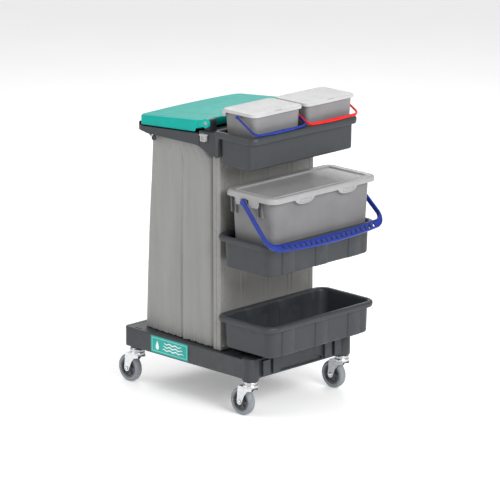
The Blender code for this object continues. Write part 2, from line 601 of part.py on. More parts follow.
def bag_frame():
    """The cantilevered ring that carries the bag, with a head that sits on the column."""
    tip, lip = FRAME_TIP_X, FRAME_TIP_X + NOSE_LIP
    head, end, root = FRAME_HEAD_X[0], FRAME_HEAD_X[1], FRAME_HEAD_X[0] - 0.043
    low, bottom = FRAME_LOW, FRAME_HEAD_TOP - FRAME_HEAD_DEPTH
    underside = [(tip, low + 0.0125), (tip + 0.004, low + 0.009), (tip + 0.030, low + 0.006),
                 (tip + 0.058, low + 0.001), (tip + 0.068, low), (head - 0.064, low),
                 (head - 0.0393, low - 0.006), (head - 0.0148, low - 0.015), (head + 0.0096, low - 0.025),
                 (end, bottom)]
    upper = [(end, FRAME_HEAD_TOP), (root, FRAME_HEAD_TOP), (root - 0.002, rail_top(root - 0.008)),
             (lip + 0.001, rail_top(lip) + 0.001), (lip, NOSE_LIP_TOP - 0.001), (lip - 0.001, NOSE_LIP_TOP),
             (tip + 0.002, NOSE_LIP_TOP), (tip, NOSE_LIP_TOP - 0.002)]
    outline = prism_y(underside + upper, -FRAME_HALF_WIDTH, FRAME_HALF_WIDTH)
    frame = place("bag_frame", outline, DARK_PLASTIC)
    through = (bottom - 0.01, HINGE_Z)
    plan = rounded((tip, end), FRAME_HALF_WIDTH, (0.0005, FRAME_CORNER_R), 6)
    combine(frame, "INTERSECT", "rounded_plan", loft([at_height(plan, z) for z in through]))
    mouth = loft([at_height(rounded(FRAME_MOUTH_X, FRAME_MOUTH_HALF, BAG_R), z) for z in through])
    combine(frame, "DIFFERENCE", "bag_mouth", mouth)
    seat_x = (head - 0.021, end + 0.01)
    seat_y = COLUMN_HALF_WIDTH + COLUMN_SEAT_PLAY
    seat = box(seat_x, (-seat_y, seat_y), (bottom - 0.01, COLUMN_TOP + GAP))
    combine(frame, "DIFFERENCE", "column_seat", seat)

    for side_name, side in SIDES.items():
        y = side_range(side, *HINGE_BRACKET_Y)
        x = (HINGE_X - HINGE_BRACKET_HALF, HINGE_X + HINGE_BRACKET_HALF)
        foot = [(x[1], FRAME_HEAD_TOP + GAP), (x[1], HINGE_Z)]
        crest = arc((HINGE_X, HINGE_Z), HINGE_BRACKET_HALF, 0, 180, 6)[1:-1]
        stand = foot + crest + [(x[0], HINGE_Z), (x[0], FRAME_HEAD_TOP + GAP)]
        bracket = place(f"hinge_bracket_{side_name}", prism_y(stand, *y), DARK_PLASTIC)
        bore = rod_y((HINGE_X, HINGE_Z), HINGE_PIN_R + GAP, y[0] - 0.01, y[1] + 0.01, 16)
        combine(bracket, "DIFFERENCE", f"bracket_bore_{side_name}", bore)
        pin = rod_y((HINGE_X, HINGE_Z), HINGE_PIN_R, *side_range(side, HINGE_BRACKET_Y[0], EAR_Y[1]), 16)
        place(f"hinge_pin_{side_name}", pin, ZINC)
        face = FRAME_HALF_WIDTH + GAP
        latch = prism_y(rounded_xz(LATCH_X, LATCH_Z, LATCH_R), *side_range(side, face, face + LATCH_PROUD))
        place(f"frame_latch_{side_name}", latch, PALE_PLASTIC)
        clip_y = side_range(side, FRAME_HALF_WIDTH - CLIP_THICKNESS, FRAME_HALF_WIDTH)
        place(f"bag_clip_{side_name}", prism_y(rounded_xz(CLIP_X, CLIP_Z, CLIP_R), *clip_y), DARK_PLASTIC)
        ball = bmesh.new()
        bmesh.ops.create_uvsphere(ball, u_segments=10, v_segments=6, radius=BALL_HOOK_R)
        centre = (BALL_HOOK_XZ[0], side * (FRAME_HALF_WIDTH - BALL_HOOK_R), BALL_HOOK_XZ[1])
        place(f"bag_ball_hook_{side_name}", ball, CHROME, shift=centre)


def lid_top(x):
    return HINGE_Z + LID_TOP_OVER_HINGE + LID_TOP_SLOPE * (x - HINGE_X)


def lid_low(x):
    step = LID_STEP if x > LID_STEP_X else 0.0
    return HINGE_Z - LID_LOW_UNDER_HINGE + LID_LOW_SLOPE * (x - HINGE_X) + step


def main_lid():
    """The bag's lid: a crowned, skirted shell hinged on two ears."""
    shape = ((LID_FREE_X, LID_HINGE_X), LID_HALF_WIDTH, LID_CORNER_R)
    centre = ((LID_FREE_X + LID_HINGE_X) / 2, 0.0)

    def shrunk(points, scale):
        return [(centre[0] + (x - centre[0]) * scale, y * scale) for x, y in points]

    def plan(amount=0.0):
        return with_side_points(rounded(*inset(*shape, amount)), LID_SIDE_POINTS)

    outside = plan(LID_EDGE_ROUND)
    inside = plan(LID_WALL)
    rings = []
    for scale in (0.12, 0.4, 0.7, 0.92):
        rise = LID_CROWN * (1 - scale ** 2) - LID_WALL
        rings.append(at_height(shrunk(inside, scale), lambda x, rise=rise: lid_top(x) + rise))
    rings.append(at_height(inside, lambda x: lid_top(x) - LID_WALL - LID_EDGE_ROUND))
    rings.append(at_height(inside, lid_low))
    rings.append(at_height(plan(), lid_low))
    rings.append(at_height(plan(), lambda x: lid_top(x) - LID_EDGE_ROUND))
    rings.append(at_height(outside, lid_top))
    for scale in (0.92, 0.7, 0.4, 0.12):
        rise = LID_CROWN * (1 - scale ** 2)
        rings.append(at_height(shrunk(outside, scale), lambda x, rise=rise: lid_top(x) + rise))
    axis = (HINGE_X, 0.0, HINGE_Z)
    lid = place("main_lid", loft(rings), TEAL_PLASTIC, origin=axis)
    for side_name, side in SIDES.items():
        y = side_range(side, *EAR_Y)
        disc = arc((HINGE_X, HINGE_Z), EAR_R, -115, 90, 9)
        ear = disc + [(EAR_ROOT_X, lid_top(EAR_ROOT_X) - 0.003), (EAR_ROOT_X, lid_low(EAR_ROOT_X) + 0.004)]
        combine(lid, "UNION", f"ear_{side_name}", prism_y(ear, *y))
        through = side_range(side, EAR_Y[0] - 0.004, EAR_Y[1] + 0.01)
        bore = rod_y((HINGE_X, HINGE_Z), HINGE_PIN_R + GAP, *through, 16)
        combine(lid, "DIFFERENCE", f"ear_bore_{side_name}", bore)


def waste_bag():
    """The bag as a plain thin shell, open at the frame's mouth and closed underneath."""
    low = (BAG_X_LOW, BAG_HALF_LOW, BAG_R)
    mouth = (BAG_X_TOP, BAG_HALF_TOP, BAG_R)

    def ring(shape, z, amount=0.0):
        return at_height(rounded(*inset(*shape, amount)), z)

    shoulder = (BAG_X_SHOULDER, BAG_HALF_TOP, BAG_R)
    rings = [ring(low, BAG_BOTTOM), ring(shoulder, BAG_SHOULDER), ring(mouth, BAG_NECK),
             ring(mouth, BAG_MOUTH), ring(mouth, BAG_MOUTH, BAG_WALL), ring(mouth, BAG_NECK, BAG_WALL),
             ring(shoulder, BAG_SHOULDER - BAG_WALL, BAG_WALL), ring(low, BAG_BOTTOM + BAG_WALL, BAG_WALL)]
    place("waste_bag", loft(rings), GREY_VINYL)


def bail(reach, bow, rest, corner, arm_half, spread_half, arm, bar, pivot):
    """Rings of a bail handle: an arm, a bowed bar and an arm, in the plane it swings in."""
    straight = reach - corner
    path = []
    for share in (0.0, 0.3, 0.65, 1.0):
        path.append((straight * share, -(arm_half + (spread_half - arm_half) * share), 0.0))
    for step in range(1, 6):
        angle = radians(90 * step / 5)
        path.append((straight + corner * sin(angle), -spread_half + corner * (1 - cos(angle)), step / 5))
    inner = spread_half - corner
    for share in (0.33, 0.66, 1.0):
        y = -inner * (1 - share)
        path.append((reach + bow * (1 - (1 - share) ** 2), y, 1.0))
    path += [(s, -y, blend) for s, y, blend in reversed(path[:-1])]
    flat = STRAP_FLAT
    section = [(-1, -flat), (-0.7, -1), (0.7, -1), (1, -flat), (1, flat), (0.7, 1), (-0.7, 1), (-1, flat)]
    rings = []
    for index, (s, y, blend) in enumerate(path):
        before = path[max(index - 1, 0)]
        after = path[min(index + 1, len(path) - 1)]
        along = Vector((after[0] - before[0], after[1] - before[1])).normalized()
        across = (along.y, -along.x)
        width = arm[0] + (bar[0] - arm[0]) * blend
        depth = arm[1] + (bar[1] - arm[1]) * blend
        ring = []
        for u, v in section:
            out_s = s + across[0] * u * width / 2
            out_y = y + across[1] * u * width / 2
            lift = v * depth / 2
            ring.append((pivot[0] + out_s * cos(rest) + lift * sin(rest), out_y,
                         pivot[1] - out_s * sin(rest) + lift * cos(rest)))
        rings.append(ring)
    return loft(rings)


def handle(name, finish, pivot, y, eye_r, pivot_r, arm, arm_half, strap):
    """A bail handle with an eye at each end, its origin on the pivots' axis."""
    origin = (pivot[0], y, pivot[1])
    bmesh.ops.translate(strap, verts=strap.verts, vec=(0, y, 0))
    made = place(name, strap, finish, origin=origin)
    for side_name, side in SIDES.items():
        stretch = [y + side * (arm_half - arm[0] / 2), y + side * (arm_half + arm[0] / 2)]
        combine(made, "UNION", f"{name}_eye_{side_name}", rod_y(pivot, eye_r, *sorted(stretch), 14))
        through = [y + side * (arm_half - arm[0]), y + side * (arm_half + arm[0])]
        bore = rod_y(pivot, pivot_r + RUNNING, *sorted(through))
        combine(made, "DIFFERENCE", f"{name}_bore_{side_name}", bore)
    return made


def tab(bottom, top, low, high, slope=0.012):
    """Outline of a grip tab: wide at the top, narrower at its lower edge."""
    return [(low, top), (low + slope, bottom), (high - slope, bottom), (high, top)]


def large_bucket():
    """The wide bucket in the middle tray, with its lift-off lid and its perforated handle."""
    bottom = LARGE_BOTTOM
    shape = (LARGE_X, LARGE_HALF, LARGE_R)
    foot = inset(*shape, LARGE_TAPER)
    inner = inset(*shape, LARGE_WALL)
    floor = inset(*foot, LARGE_WALL)
    flange = inset(*shape, -LARGE_FLANGE)
    flange_z = LARGE_TOP - LARGE_FLANGE_DEPTH
    rings = [at_height(rounded(*inset(*foot, 0.005)), bottom), at_height(rounded(*foot), bottom + 0.005),
             at_height(rounded(*shape), flange_z), at_height(rounded(*flange), flange_z),
             at_height(rounded(*flange), LARGE_TOP), at_height(rounded(*inner), LARGE_TOP),
             at_height(rounded(*floor), bottom + LARGE_WALL + 0.004),
             at_height(rounded(*inset(*floor, 0.005)), bottom + LARGE_WALL)]
    body = place("large_bucket", loft(rings), GREY_BUCKET)
    for side_name, side in SIDES.items():
        reach = LARGE_ARM_HALF + LARGE_ARM[0] / 2
        root = LARGE_HALF - PIVOT_ROOT
        stub = rod_y(LARGE_PIVOT, LARGE_PIVOT_R, *side_range(side, root, reach))
        combine(body, "UNION", f"large_pivot_{side_name}", stub)
        boss = rod_y(LARGE_PIVOT, LARGE_BOSS_R, *side_range(side, root, LARGE_LID_HALF + 0.001))
        combine(body, "UNION", f"large_boss_{side_name}", boss)

    outline = (LARGE_LID_X, LARGE_LID_HALF, LARGE_R + 0.005)
    low = LARGE_LID_TOP - LARGE_LID_SKIRT
    plate_low = LARGE_TOP + GAP
    panel = LARGE_LID_TOP - LARGE_LID_RECESS
    skirt = inset(*outline, TAB_THICKNESS)
    border = inset(*outline, LARGE_LID_BORDER)
    rings = [at_height(rounded(*skirt), plate_low), at_height(rounded(*skirt), low),
             at_height(rounded(*outline), low), at_height(rounded(*outline), LARGE_LID_TOP - LARGE_LID_ROUND),
             at_height(rounded(*inset(*outline, LARGE_LID_ROUND)), LARGE_LID_TOP),
             at_height(rounded(*border), LARGE_LID_TOP),
             at_height(rounded(*inset(*border, 0.004)), panel)]
    cover = place("large_bucket_lid", loft(rings), PALE_LID, origin=(LARGE_X[0], 0, LARGE_TOP))
    front = (LARGE_LID_X[1] - TAB_THICKNESS, LARGE_LID_X[1])
    for side_name, side in SIDES.items():
        centre = side * FRONT_TAB_CENTRE
        grip = tab(low - TAB_DROP, low + TAB_ROOT, centre - FRONT_TAB_WIDTH / 2, centre + FRONT_TAB_WIDTH / 2)
        combine(cover, "UNION", f"front_tab_{side_name}", prism_x(grip, *front))
        y = side_range(side, LARGE_LID_HALF - TAB_THICKNESS, LARGE_LID_HALF)
        grip = tab(low - SIDE_TAB_DROP, low + TAB_ROOT, *SIDE_TAB_X)
        combine(cover, "UNION", f"side_tab_{side_name}", prism_y(grip, *y))
        notch_x = (LARGE_PIVOT[0] - NOTCH_HALF, LARGE_PIVOT[0] + NOTCH_HALF)
        notch_y = side_range(side, LARGE_LID_HALF - TAB_THICKNESS - 0.002, LARGE_LID_HALF + 0.01)
        notch_z = (low - SIDE_TAB_DROP - 0.01, LARGE_PIVOT[1] + NOTCH_HALF - 0.002)
        combine(cover, "DIFFERENCE", f"pivot_notch_{side_name}", box(notch_x, notch_y, notch_z))

    strap = bail(LARGE_REACH, LARGE_BOW, LARGE_REST, LARGE_CORNER, LARGE_ARM_HALF,
                 LARGE_SPREAD_HALF, LARGE_ARM, LARGE_BAR, LARGE_PIVOT)
    grip = handle("large_bucket_handle", NAVY, LARGE_PIVOT, 0.0, LARGE_EYE_R, LARGE_PIVOT_R, LARGE_ARM,
                  LARGE_ARM_HALF, strap)
    slots = bmesh.new()
    half_run = LARGE_SPREAD_HALF - LARGE_CORNER
    pitch = 2 * half_run / SLOT_COUNT
    across = Vector((cos(LARGE_REST), 0, -sin(LARGE_REST)))
    normal = Vector((sin(LARGE_REST), 0, cos(LARGE_REST)))
    for number in range(SLOT_COUNT):
        y = (number - (SLOT_COUNT - 1) / 2) * pitch
        share = 1 - abs(y) / half_run
        middle = LARGE_REACH + LARGE_BOW * (1 - (1 - share) ** 2)
        centre = Vector((LARGE_PIVOT[0], y, LARGE_PIVOT[1])) + across * middle
        ring = [centre + across * a * SLOT_LENGTH / 2 + Vector((0, b * SLOT_WIDTH / 2, 0))
                for a, b in ((-1, -1), (1, -1), (1, 1), (-1, 1))]
        loft([[p - normal * 0.02 for p in ring], [p + normal * 0.02 for p in ring]], bm=slots)
    combine(grip, "DIFFERENCE", "handle_slots", slots)


def small_bucket(name, centre, colour):
    """A small lidded bucket: its lid swings on two side pins, its handle on two more."""
    dx, y = centre
    bottom = SMALL_BOTTOM
    body_x = (SMALL_BODY_X[0] + dx, SMALL_BODY_X[1] + dx)
    lid_x = (SMALL_LID_X[0] + dx, SMALL_LID_X[1] + dx)
    pivot = (SMALL_PIVOT[0] + dx, SMALL_PIVOT[1])
    hinge = (SMALL_HINGE[0] + dx, SMALL_HINGE[1])

    def ring(shape, z):
        x, half, radius = shape
        return at_height(rounded(x, half, radius, y=y), z)

    shape = (body_x, SMALL_BODY_HALF, SMALL_R)
    foot = inset(*shape, SMALL_TAPER)
    floor = inset(*foot, SMALL_WALL)
    rings = [ring(inset(*foot, 0.004), bottom), ring(foot, bottom + 0.004), ring(shape, SMALL_TOP),
             ring(inset(*shape, SMALL_WALL), SMALL_TOP), ring(floor, bottom + SMALL_WALL + 0.003),
             ring(inset(*floor, 0.004), bottom + SMALL_WALL)]
    body = place(f"{name}_bucket", loft(rings), GREY_BUCKET)
    flat_root = SMALL_BODY_HALF - SMALL_WALL + 0.0007
    corner_root = flat_root - 0.0042
    for side_name, side in SIDES.items():
        spans = ((pivot, SMALL_PIVOT_R, flat_root, SMALL_ARM_HALF + SMALL_ARM[0] / 2, "pivot"),
                 (pivot, SMALL_EYE_R, flat_root, SMALL_ARM_HALF - SMALL_ARM[0] / 2 - SMALL_ARM_PLAY, "boss"),
                 (hinge, SMALL_HINGE_PIN_R, corner_root, SMALL_LID_HALF - 0.0005, "hinge_pin"))
        for axis, radius, root, reach, word in spans:
            stub = rod_y(axis, radius, *sorted((y + side * root, y + side * reach)))
            combine(body, "UNION", f"{name}_{word}_{side_name}", stub)

    outline = (lid_x, SMALL_LID_HALF, SMALL_R + 0.003)
    skirt = inset(*outline, 0.002)
    back = lid_x[0] + 0.012

    def low(x):
        return SMALL_LID_TOP - (SMALL_LID_SKIRT if x > back else SMALL_LID_SKIRT / 2)

    rings = [ring(skirt, SMALL_LID_TOP - SMALL_LID_PLATE), ring(skirt, low), ring(outline, low),
             ring(outline, SMALL_LID_TOP - SMALL_LID_ROUND),
             ring(inset(*outline, SMALL_LID_ROUND), SMALL_LID_TOP)]
    cover = place(f"{name}_bucket_lid", loft(rings), PALE_LID, origin=(hinge[0], y, hinge[1]))
    for side_name, side in SIDES.items():
        ear = arc(hinge, SMALL_EAR_R, 180, 360, 6) + [(hinge[0] + SMALL_EAR_R, low(1) + 0.004),
                                                      (hinge[0] - SMALL_EAR_R, low(1) + 0.004)]
        stretch = sorted((y + side * (SMALL_LID_HALF - 0.002), y + side * SMALL_LID_HALF))
        combine(cover, "UNION", f"{name}_lid_ear_{side_name}", prism_y(ear, *stretch))
        wide = sorted((y + side * (SMALL_LID_HALF - 0.003), y + side * (SMALL_LID_HALF + 0.003)))
        combine(cover, "DIFFERENCE", f"{name}_lid_bore_{side_name}",
                rod_y(hinge, SMALL_HINGE_PIN_R + RUNNING, *wide))

    strap = bail(SMALL_REACH, SMALL_BOW, SMALL_REST, SMALL_CORNER, SMALL_ARM_HALF,
                 SMALL_ARM_HALF, SMALL_ARM, SMALL_BAR, pivot)
    handle(f"{name}_bucket_handle", colour, pivot, y, SMALL_EYE_R, SMALL_PIVOT_R,
           SMALL_ARM, SMALL_ARM_HALF, strap)


for leftover in list(bpy.data.objects):
    bpy.data.objects.remove(leftover, do_unlink=True)

CHASSIS = bpy.data.objects.new("chassis_origin", None)
CHASSIS.location = (-CENTRE_X, 0.0, 0.0)
bpy.context.collection.objects.link(CHASSIS)

DARK_PLASTIC = material("dark_plastic", (0.075, 0.083, 0.090), 0.45)
GREIGE = material("column_plastic", (0.25, 0.24, 0.225), 0.50)
PALE_PLASTIC = material("pale_plastic", (0.55, 0.55, 0.55), 0.45)
TEAL_PLASTIC = material("teal_plastic", (0.020, 0.42, 0.37), 0.38)
TEAL_PRINT = material("label_print", (0.020, 0.36, 0.32), 0.35)
GREY_VINYL = material("bag_vinyl", (0.33, 0.33, 0.32), 0.50)
GREY_BUCKET = material("bucket_plastic", (0.26, 0.26, 0.27), 0.40)
PALE_LID = material("lid_plastic", (0.72, 0.72, 0.72), 0.35)
NAVY = material("blue_plastic", (0.022, 0.045, 0.32), 0.38)
RED = material("red_plastic", (0.75, 0.015, 0.015), 0.38)
ZINC = material("zinc_steel", (0.62, 0.63, 0.65), 0.30, 1.0)
CHROME = material("chrome_steel", (0.80, 0.80, 0.82), 0.12, 1.0)
GREY_HUB = material("wheel_centre", (0.16, 0.17, 0.18), 0.50)
GREY_TYRE = material("tyre_rubber", (0.20, 0.22, 0.24), 0.65)

base()
label()
column()
lower_tray("bottom_tray", TRAY_FLOOR_Z)
lower_tray("middle_tray", TRAY_FLOOR_Z + TRAY_PITCH)
top_tray()
bag_frame()
main_lid()
waste_bag()
large_bucket()
small_bucket("blue", BUCKET_CENTRES["blue"], NAVY)
small_bucket("red", BUCKET_CENTRES["red"], RED)
for end_name, end in ENDS.items():
    for side_name, side in SIDES.items():
        caster(end_name, end, side_name, side)
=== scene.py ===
"""Looks of the housekeeping cart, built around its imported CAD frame.

Every piece is drawn in metres in the frame's own coordinates: +X to the tray end, -Y to the labelled
side and +Z up. Places and outer sizes are read from the CAD nodes that the pieces stand for.
"""
import json
from collections import namedtuple
from math import cos, exp, hypot, pi, radians, sin

import bmesh
import bpy
from mathutils import Matrix, Vector, noise

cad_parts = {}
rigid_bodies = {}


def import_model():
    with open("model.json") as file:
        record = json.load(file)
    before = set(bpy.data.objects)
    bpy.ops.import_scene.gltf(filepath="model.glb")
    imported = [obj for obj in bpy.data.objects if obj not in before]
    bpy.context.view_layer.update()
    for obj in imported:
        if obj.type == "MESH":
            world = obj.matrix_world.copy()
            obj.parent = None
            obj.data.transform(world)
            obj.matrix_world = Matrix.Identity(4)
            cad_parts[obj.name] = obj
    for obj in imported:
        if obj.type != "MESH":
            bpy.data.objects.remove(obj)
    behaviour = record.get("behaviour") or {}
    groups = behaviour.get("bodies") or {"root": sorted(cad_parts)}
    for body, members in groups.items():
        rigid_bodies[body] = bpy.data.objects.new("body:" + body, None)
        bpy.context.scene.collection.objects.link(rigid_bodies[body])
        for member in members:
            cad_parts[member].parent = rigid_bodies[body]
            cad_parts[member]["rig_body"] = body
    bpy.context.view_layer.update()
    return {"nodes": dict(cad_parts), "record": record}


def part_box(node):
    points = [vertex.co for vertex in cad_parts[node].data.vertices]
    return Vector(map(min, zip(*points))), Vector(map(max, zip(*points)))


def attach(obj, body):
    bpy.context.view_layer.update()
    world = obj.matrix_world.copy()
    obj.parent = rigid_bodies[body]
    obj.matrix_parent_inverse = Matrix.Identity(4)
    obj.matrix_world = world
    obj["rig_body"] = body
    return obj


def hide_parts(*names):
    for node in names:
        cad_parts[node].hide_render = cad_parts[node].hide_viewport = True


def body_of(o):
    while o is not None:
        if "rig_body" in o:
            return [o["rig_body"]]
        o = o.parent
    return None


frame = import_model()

SIDES = {"left": -1, "right": 1}
ENDS = {"bag": -1, "tray": 1}
AIR = 0.0003                    # between faces that touch
BLIND_CAP = 0.0014              # plastic left over a pivot at a handle's outer face
PLEATS = ((-0.163, 0.06), (0.0, 0.06), (0.163, 0.06))  # centre and width of a tray's pleats
PLEAT_EDGE = ((0.0005, 0.0), (0.0, 0.25), (-0.0008, 0.8), (-0.0018, 1.0))  # step across, share of proud

# A level outline with round corners: corner is the radius at the tray end, rear at the bag end,
# and proud is how far the pleats stand out.
Ring = namedtuple("Ring", "back front half corner rear z proud")


# ---------------------------------------------------------------- shapes

def ring(back, front, half, corner, z, rear=None, proud=0.0):
    return Ring(back, front, half, corner, corner if rear is None else rear, z, proud)


def blend_rings(a, b, share):
    return Ring(*(p + (q - p) * share for p, q in zip(a, b)))


def grown(shape, amount, **changes):
    """The same ring, larger by amount all round."""
    bigger = shape._replace(back=shape.back - amount, front=shape.front + amount, half=shape.half + amount,
                            corner=max(shape.corner + amount, 0.001), rear=max(shape.rear + amount, 0.001))
    return bigger._replace(**changes)


def softened(rings, radius, steps=4):
    """Replace each inner ring by a short curve, so that the wall turns there instead of breaking."""
    def gap(a, b):
        return max(hypot(a.half - b.half, a.z - b.z), hypot(a.front - b.front, a.z - b.z), 1e-6)

    made = [rings[0]]
    for before, here, after in zip(rings, rings[1:], rings[2:]):
        start = blend_rings(here, before, min(radius / gap(before, here), 0.48))
        end = blend_rings(here, after, min(radius / gap(here, after), 0.48))
        for step in range(steps + 1):
            share = step / steps
            made.append(blend_rings(blend_rings(start, here, share), blend_rings(here, end, share), share))
    made.append(rings[-1])
    return made


def arc(centre, radius, first, last, steps):
    """Points along a circle from one angle to another, in degrees."""
    angles = [radians(first + (last - first) * step / steps) for step in range(steps + 1)]
    return [(centre[0] + radius * cos(a), centre[1] + radius * sin(a)) for a in angles]


def quarters_of(shape, y, steps):
    """The four round corners of a ring's plan, anticlockwise from the low one at the tray end."""
    front, rear, half = shape.corner, shape.rear, shape.half
    return [arc((shape.front - front, y - half + front), front, -90, 0, steps),
            arc((shape.front - front, y + half - front), front, 0, 90, steps),
            arc((shape.back + rear, y + half - rear), rear, 90, 180, steps),
            arc((shape.back + rear, y - half + rear), rear, 180, 270, steps)]


def outline(shape, y=0.0, steps=9, pleats=()):
    """Plan of a ring, with the edges of its pleats along both ends."""
    quarters = quarters_of(shape, y, steps)
    fore, aft = [], []
    for centre, width in pleats:
        for turn in (-1, 1):
            at = centre + turn * width / 2
            for offset, share in PLEAT_EDGE:
                place = y + at + turn * offset
                fore.append((shape.front + shape.proud * share, place))
                aft.append((shape.back - shape.proud * share, place))
    fore.sort(key=lambda p: p[1])
    aft.sort(key=lambda p: -p[1])
    return quarters[0] + fore + quarters[1] + quarters[2] + aft + quarters[3]


def lifted(points, z):
    """Plan points at z, a height or a function of x."""
    return [(x, y, z(x) if callable(z) else z) for x, y in points]


def skin(loops, closed=False, caps=True, bm=None):
    """Skin a run of equal loops. An open run is capped at both ends, a closed one joins up."""
    bm = bm or bmesh.new()
    rows = [[bm.verts.new(point) for point in loop] for loop in loops]
    count = len(loops[0])
    for low, high in list(zip(rows, rows[1:])) + ([(rows[-1], rows[0])] if closed else []):
        for i in range(count):
            j = (i + 1) % count
            bm.faces.new((low[i], low[j], high[j], high[i]))
    if caps and not closed:
        bm.faces.new(list(reversed(rows[0])))
        bm.faces.new(rows[-1])
    return bm


def skin_rings(rings, y=0.0, steps=9, pleats=(), bm=None):
    return skin([lifted(outline(r, y, steps, pleats), r.z) for r in rings], bm=bm)


def prism_y(points, y0, y1, bm=None):
    """Extrude an outline of (x, z) along Y."""
    return skin([[(x, y, z) for x, z in points] for y in (y0, y1)], bm=bm)


def prism_x(points, x0, x1, bm=None):
    """Extrude an outline of (y, z) along X."""
    return skin([[(x, y, z) for y, z in points] for x in (x0, x1)], bm=bm)


def box(x, y, z, bm=None):
    plan = [(x[0], y[0]), (x[1], y[0]), (x[1], y[1]), (x[0], y[1])]
    return skin([lifted(plan, z[0]), lifted(plan, z[1])], bm=bm)


def soft_rectangle(a, b, radius, steps=5):
    """Outline of a rectangle with round corners, between two (low, high) ranges."""
    corners = ((a[1], b[0], -1, 1, -90), (a[1], b[1], -1, -1, 0), (a[0], b[1], 1, -1, 90),
               (a[0], b[0], 1, 1, 180))
    points = []
    for u, v, su, sv, start in corners:
        points += arc((u + su * radius, v + sv * radius), radius, start, start + 90, steps)
    return points


def turned(profile, centre, axis, steps=40, bm=None, closed=False):
    """Turn a profile of (radius, height) about an axis through centre, "Y" or "Z"."""
    loops = []
    for radius, height in profile:
        loop = []
        for a, b in arc((0, 0), radius, 0, 360 - 360 / steps, steps - 1):
            offset = (a, height, b) if axis == "Y" else (a, b, height)
            loop.append(tuple(c + o for c, o in zip(centre, offset)))
        loops.append(loop)
    return skin(loops, closed=closed, bm=bm)


def rod_y(centre, radius, y0, y1, steps=32, bm=None):
    return prism_y(arc(centre, radius, 0, 360 - 360 / steps, steps - 1), y0, y1, bm=bm)


def across(side, near, far, y=0.0):
    """A stretch across the cart on one side of y, low end first."""
    return tuple(sorted((y + side * near, y + side * far)))


def stack(shape, *rows):
    """Copies of a ring, each grown by an amount and set at a height."""
    return [grown(shape, amount, z=z) for amount, z in rows]


def as_object(name, bm):
    bmesh.ops.recalc_face_normals(bm, faces=bm.faces)
    mesh = bpy.data.meshes.new(name)
    bm.to_mesh(mesh)
    bm.free()
    made = bpy.data.objects.new(name, mesh)
    bpy.context.collection.objects.link(made)
    return made


def combine(target, operation, bm):
    """Join to target, or cut from it, a tool mesh, and keep the result as plain mesh."""
    tool = as_object("tool", bm)
    step = target.modifiers.new("combine", "BOOLEAN")
    step.operation = operation
    step.object = tool
    step.solver = "EXACT"
    bpy.context.view_layer.update()
    graph = bpy.context.evaluated_depsgraph_get()
    target_name = target.data.name
    target.data = bpy.data.meshes.new_from_object(target.evaluated_get(graph))
    target.data.name = target_name
    target.modifiers.clear()
    bpy.data.objects.remove(tool, do_unlink=True)


def join(target, bm):
    combine(target, "UNION", bm)


def cut(target, bm):
    combine(target, "DIFFERENCE", bm)


def shade(made, bevel=0.0, angle=38, segments=3):
    """Smooth shading with real round edges where a bevel width is given."""
    made.data.shade_smooth()
    made.data.set_sharp_from_angle(angle=radians(angle))
    if bevel:
        edge = made.modifiers.new("round_edges", "BEVEL")
        edge.width = bevel
        edge.segments = segments
        edge.limit_method = "ANGLE"
        edge.angle_limit = radians(angle)
        edge.harden_normals = True
        edge.use_clamp_overlap = True


def ride_with(node, name, bm, look):
    """Make a piece that rides on the same body as a CAD node."""
    made = as_object(name, bm)
    made.data.materials.append(look.material)
    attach(made, body_of(frame["nodes"][node])[0])
    return made


def stand_for(node, name, bm, look):
    """Make a piece that stands for a CAD node and rides on its body."""
    made = ride_with(node, name, bm, look)
    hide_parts(node)
    return made


# ---------------------------------------------------------------- materials

# A material and the name of its slot in the record; the pieces take only the material
Look = namedtuple("Look", "material slot")


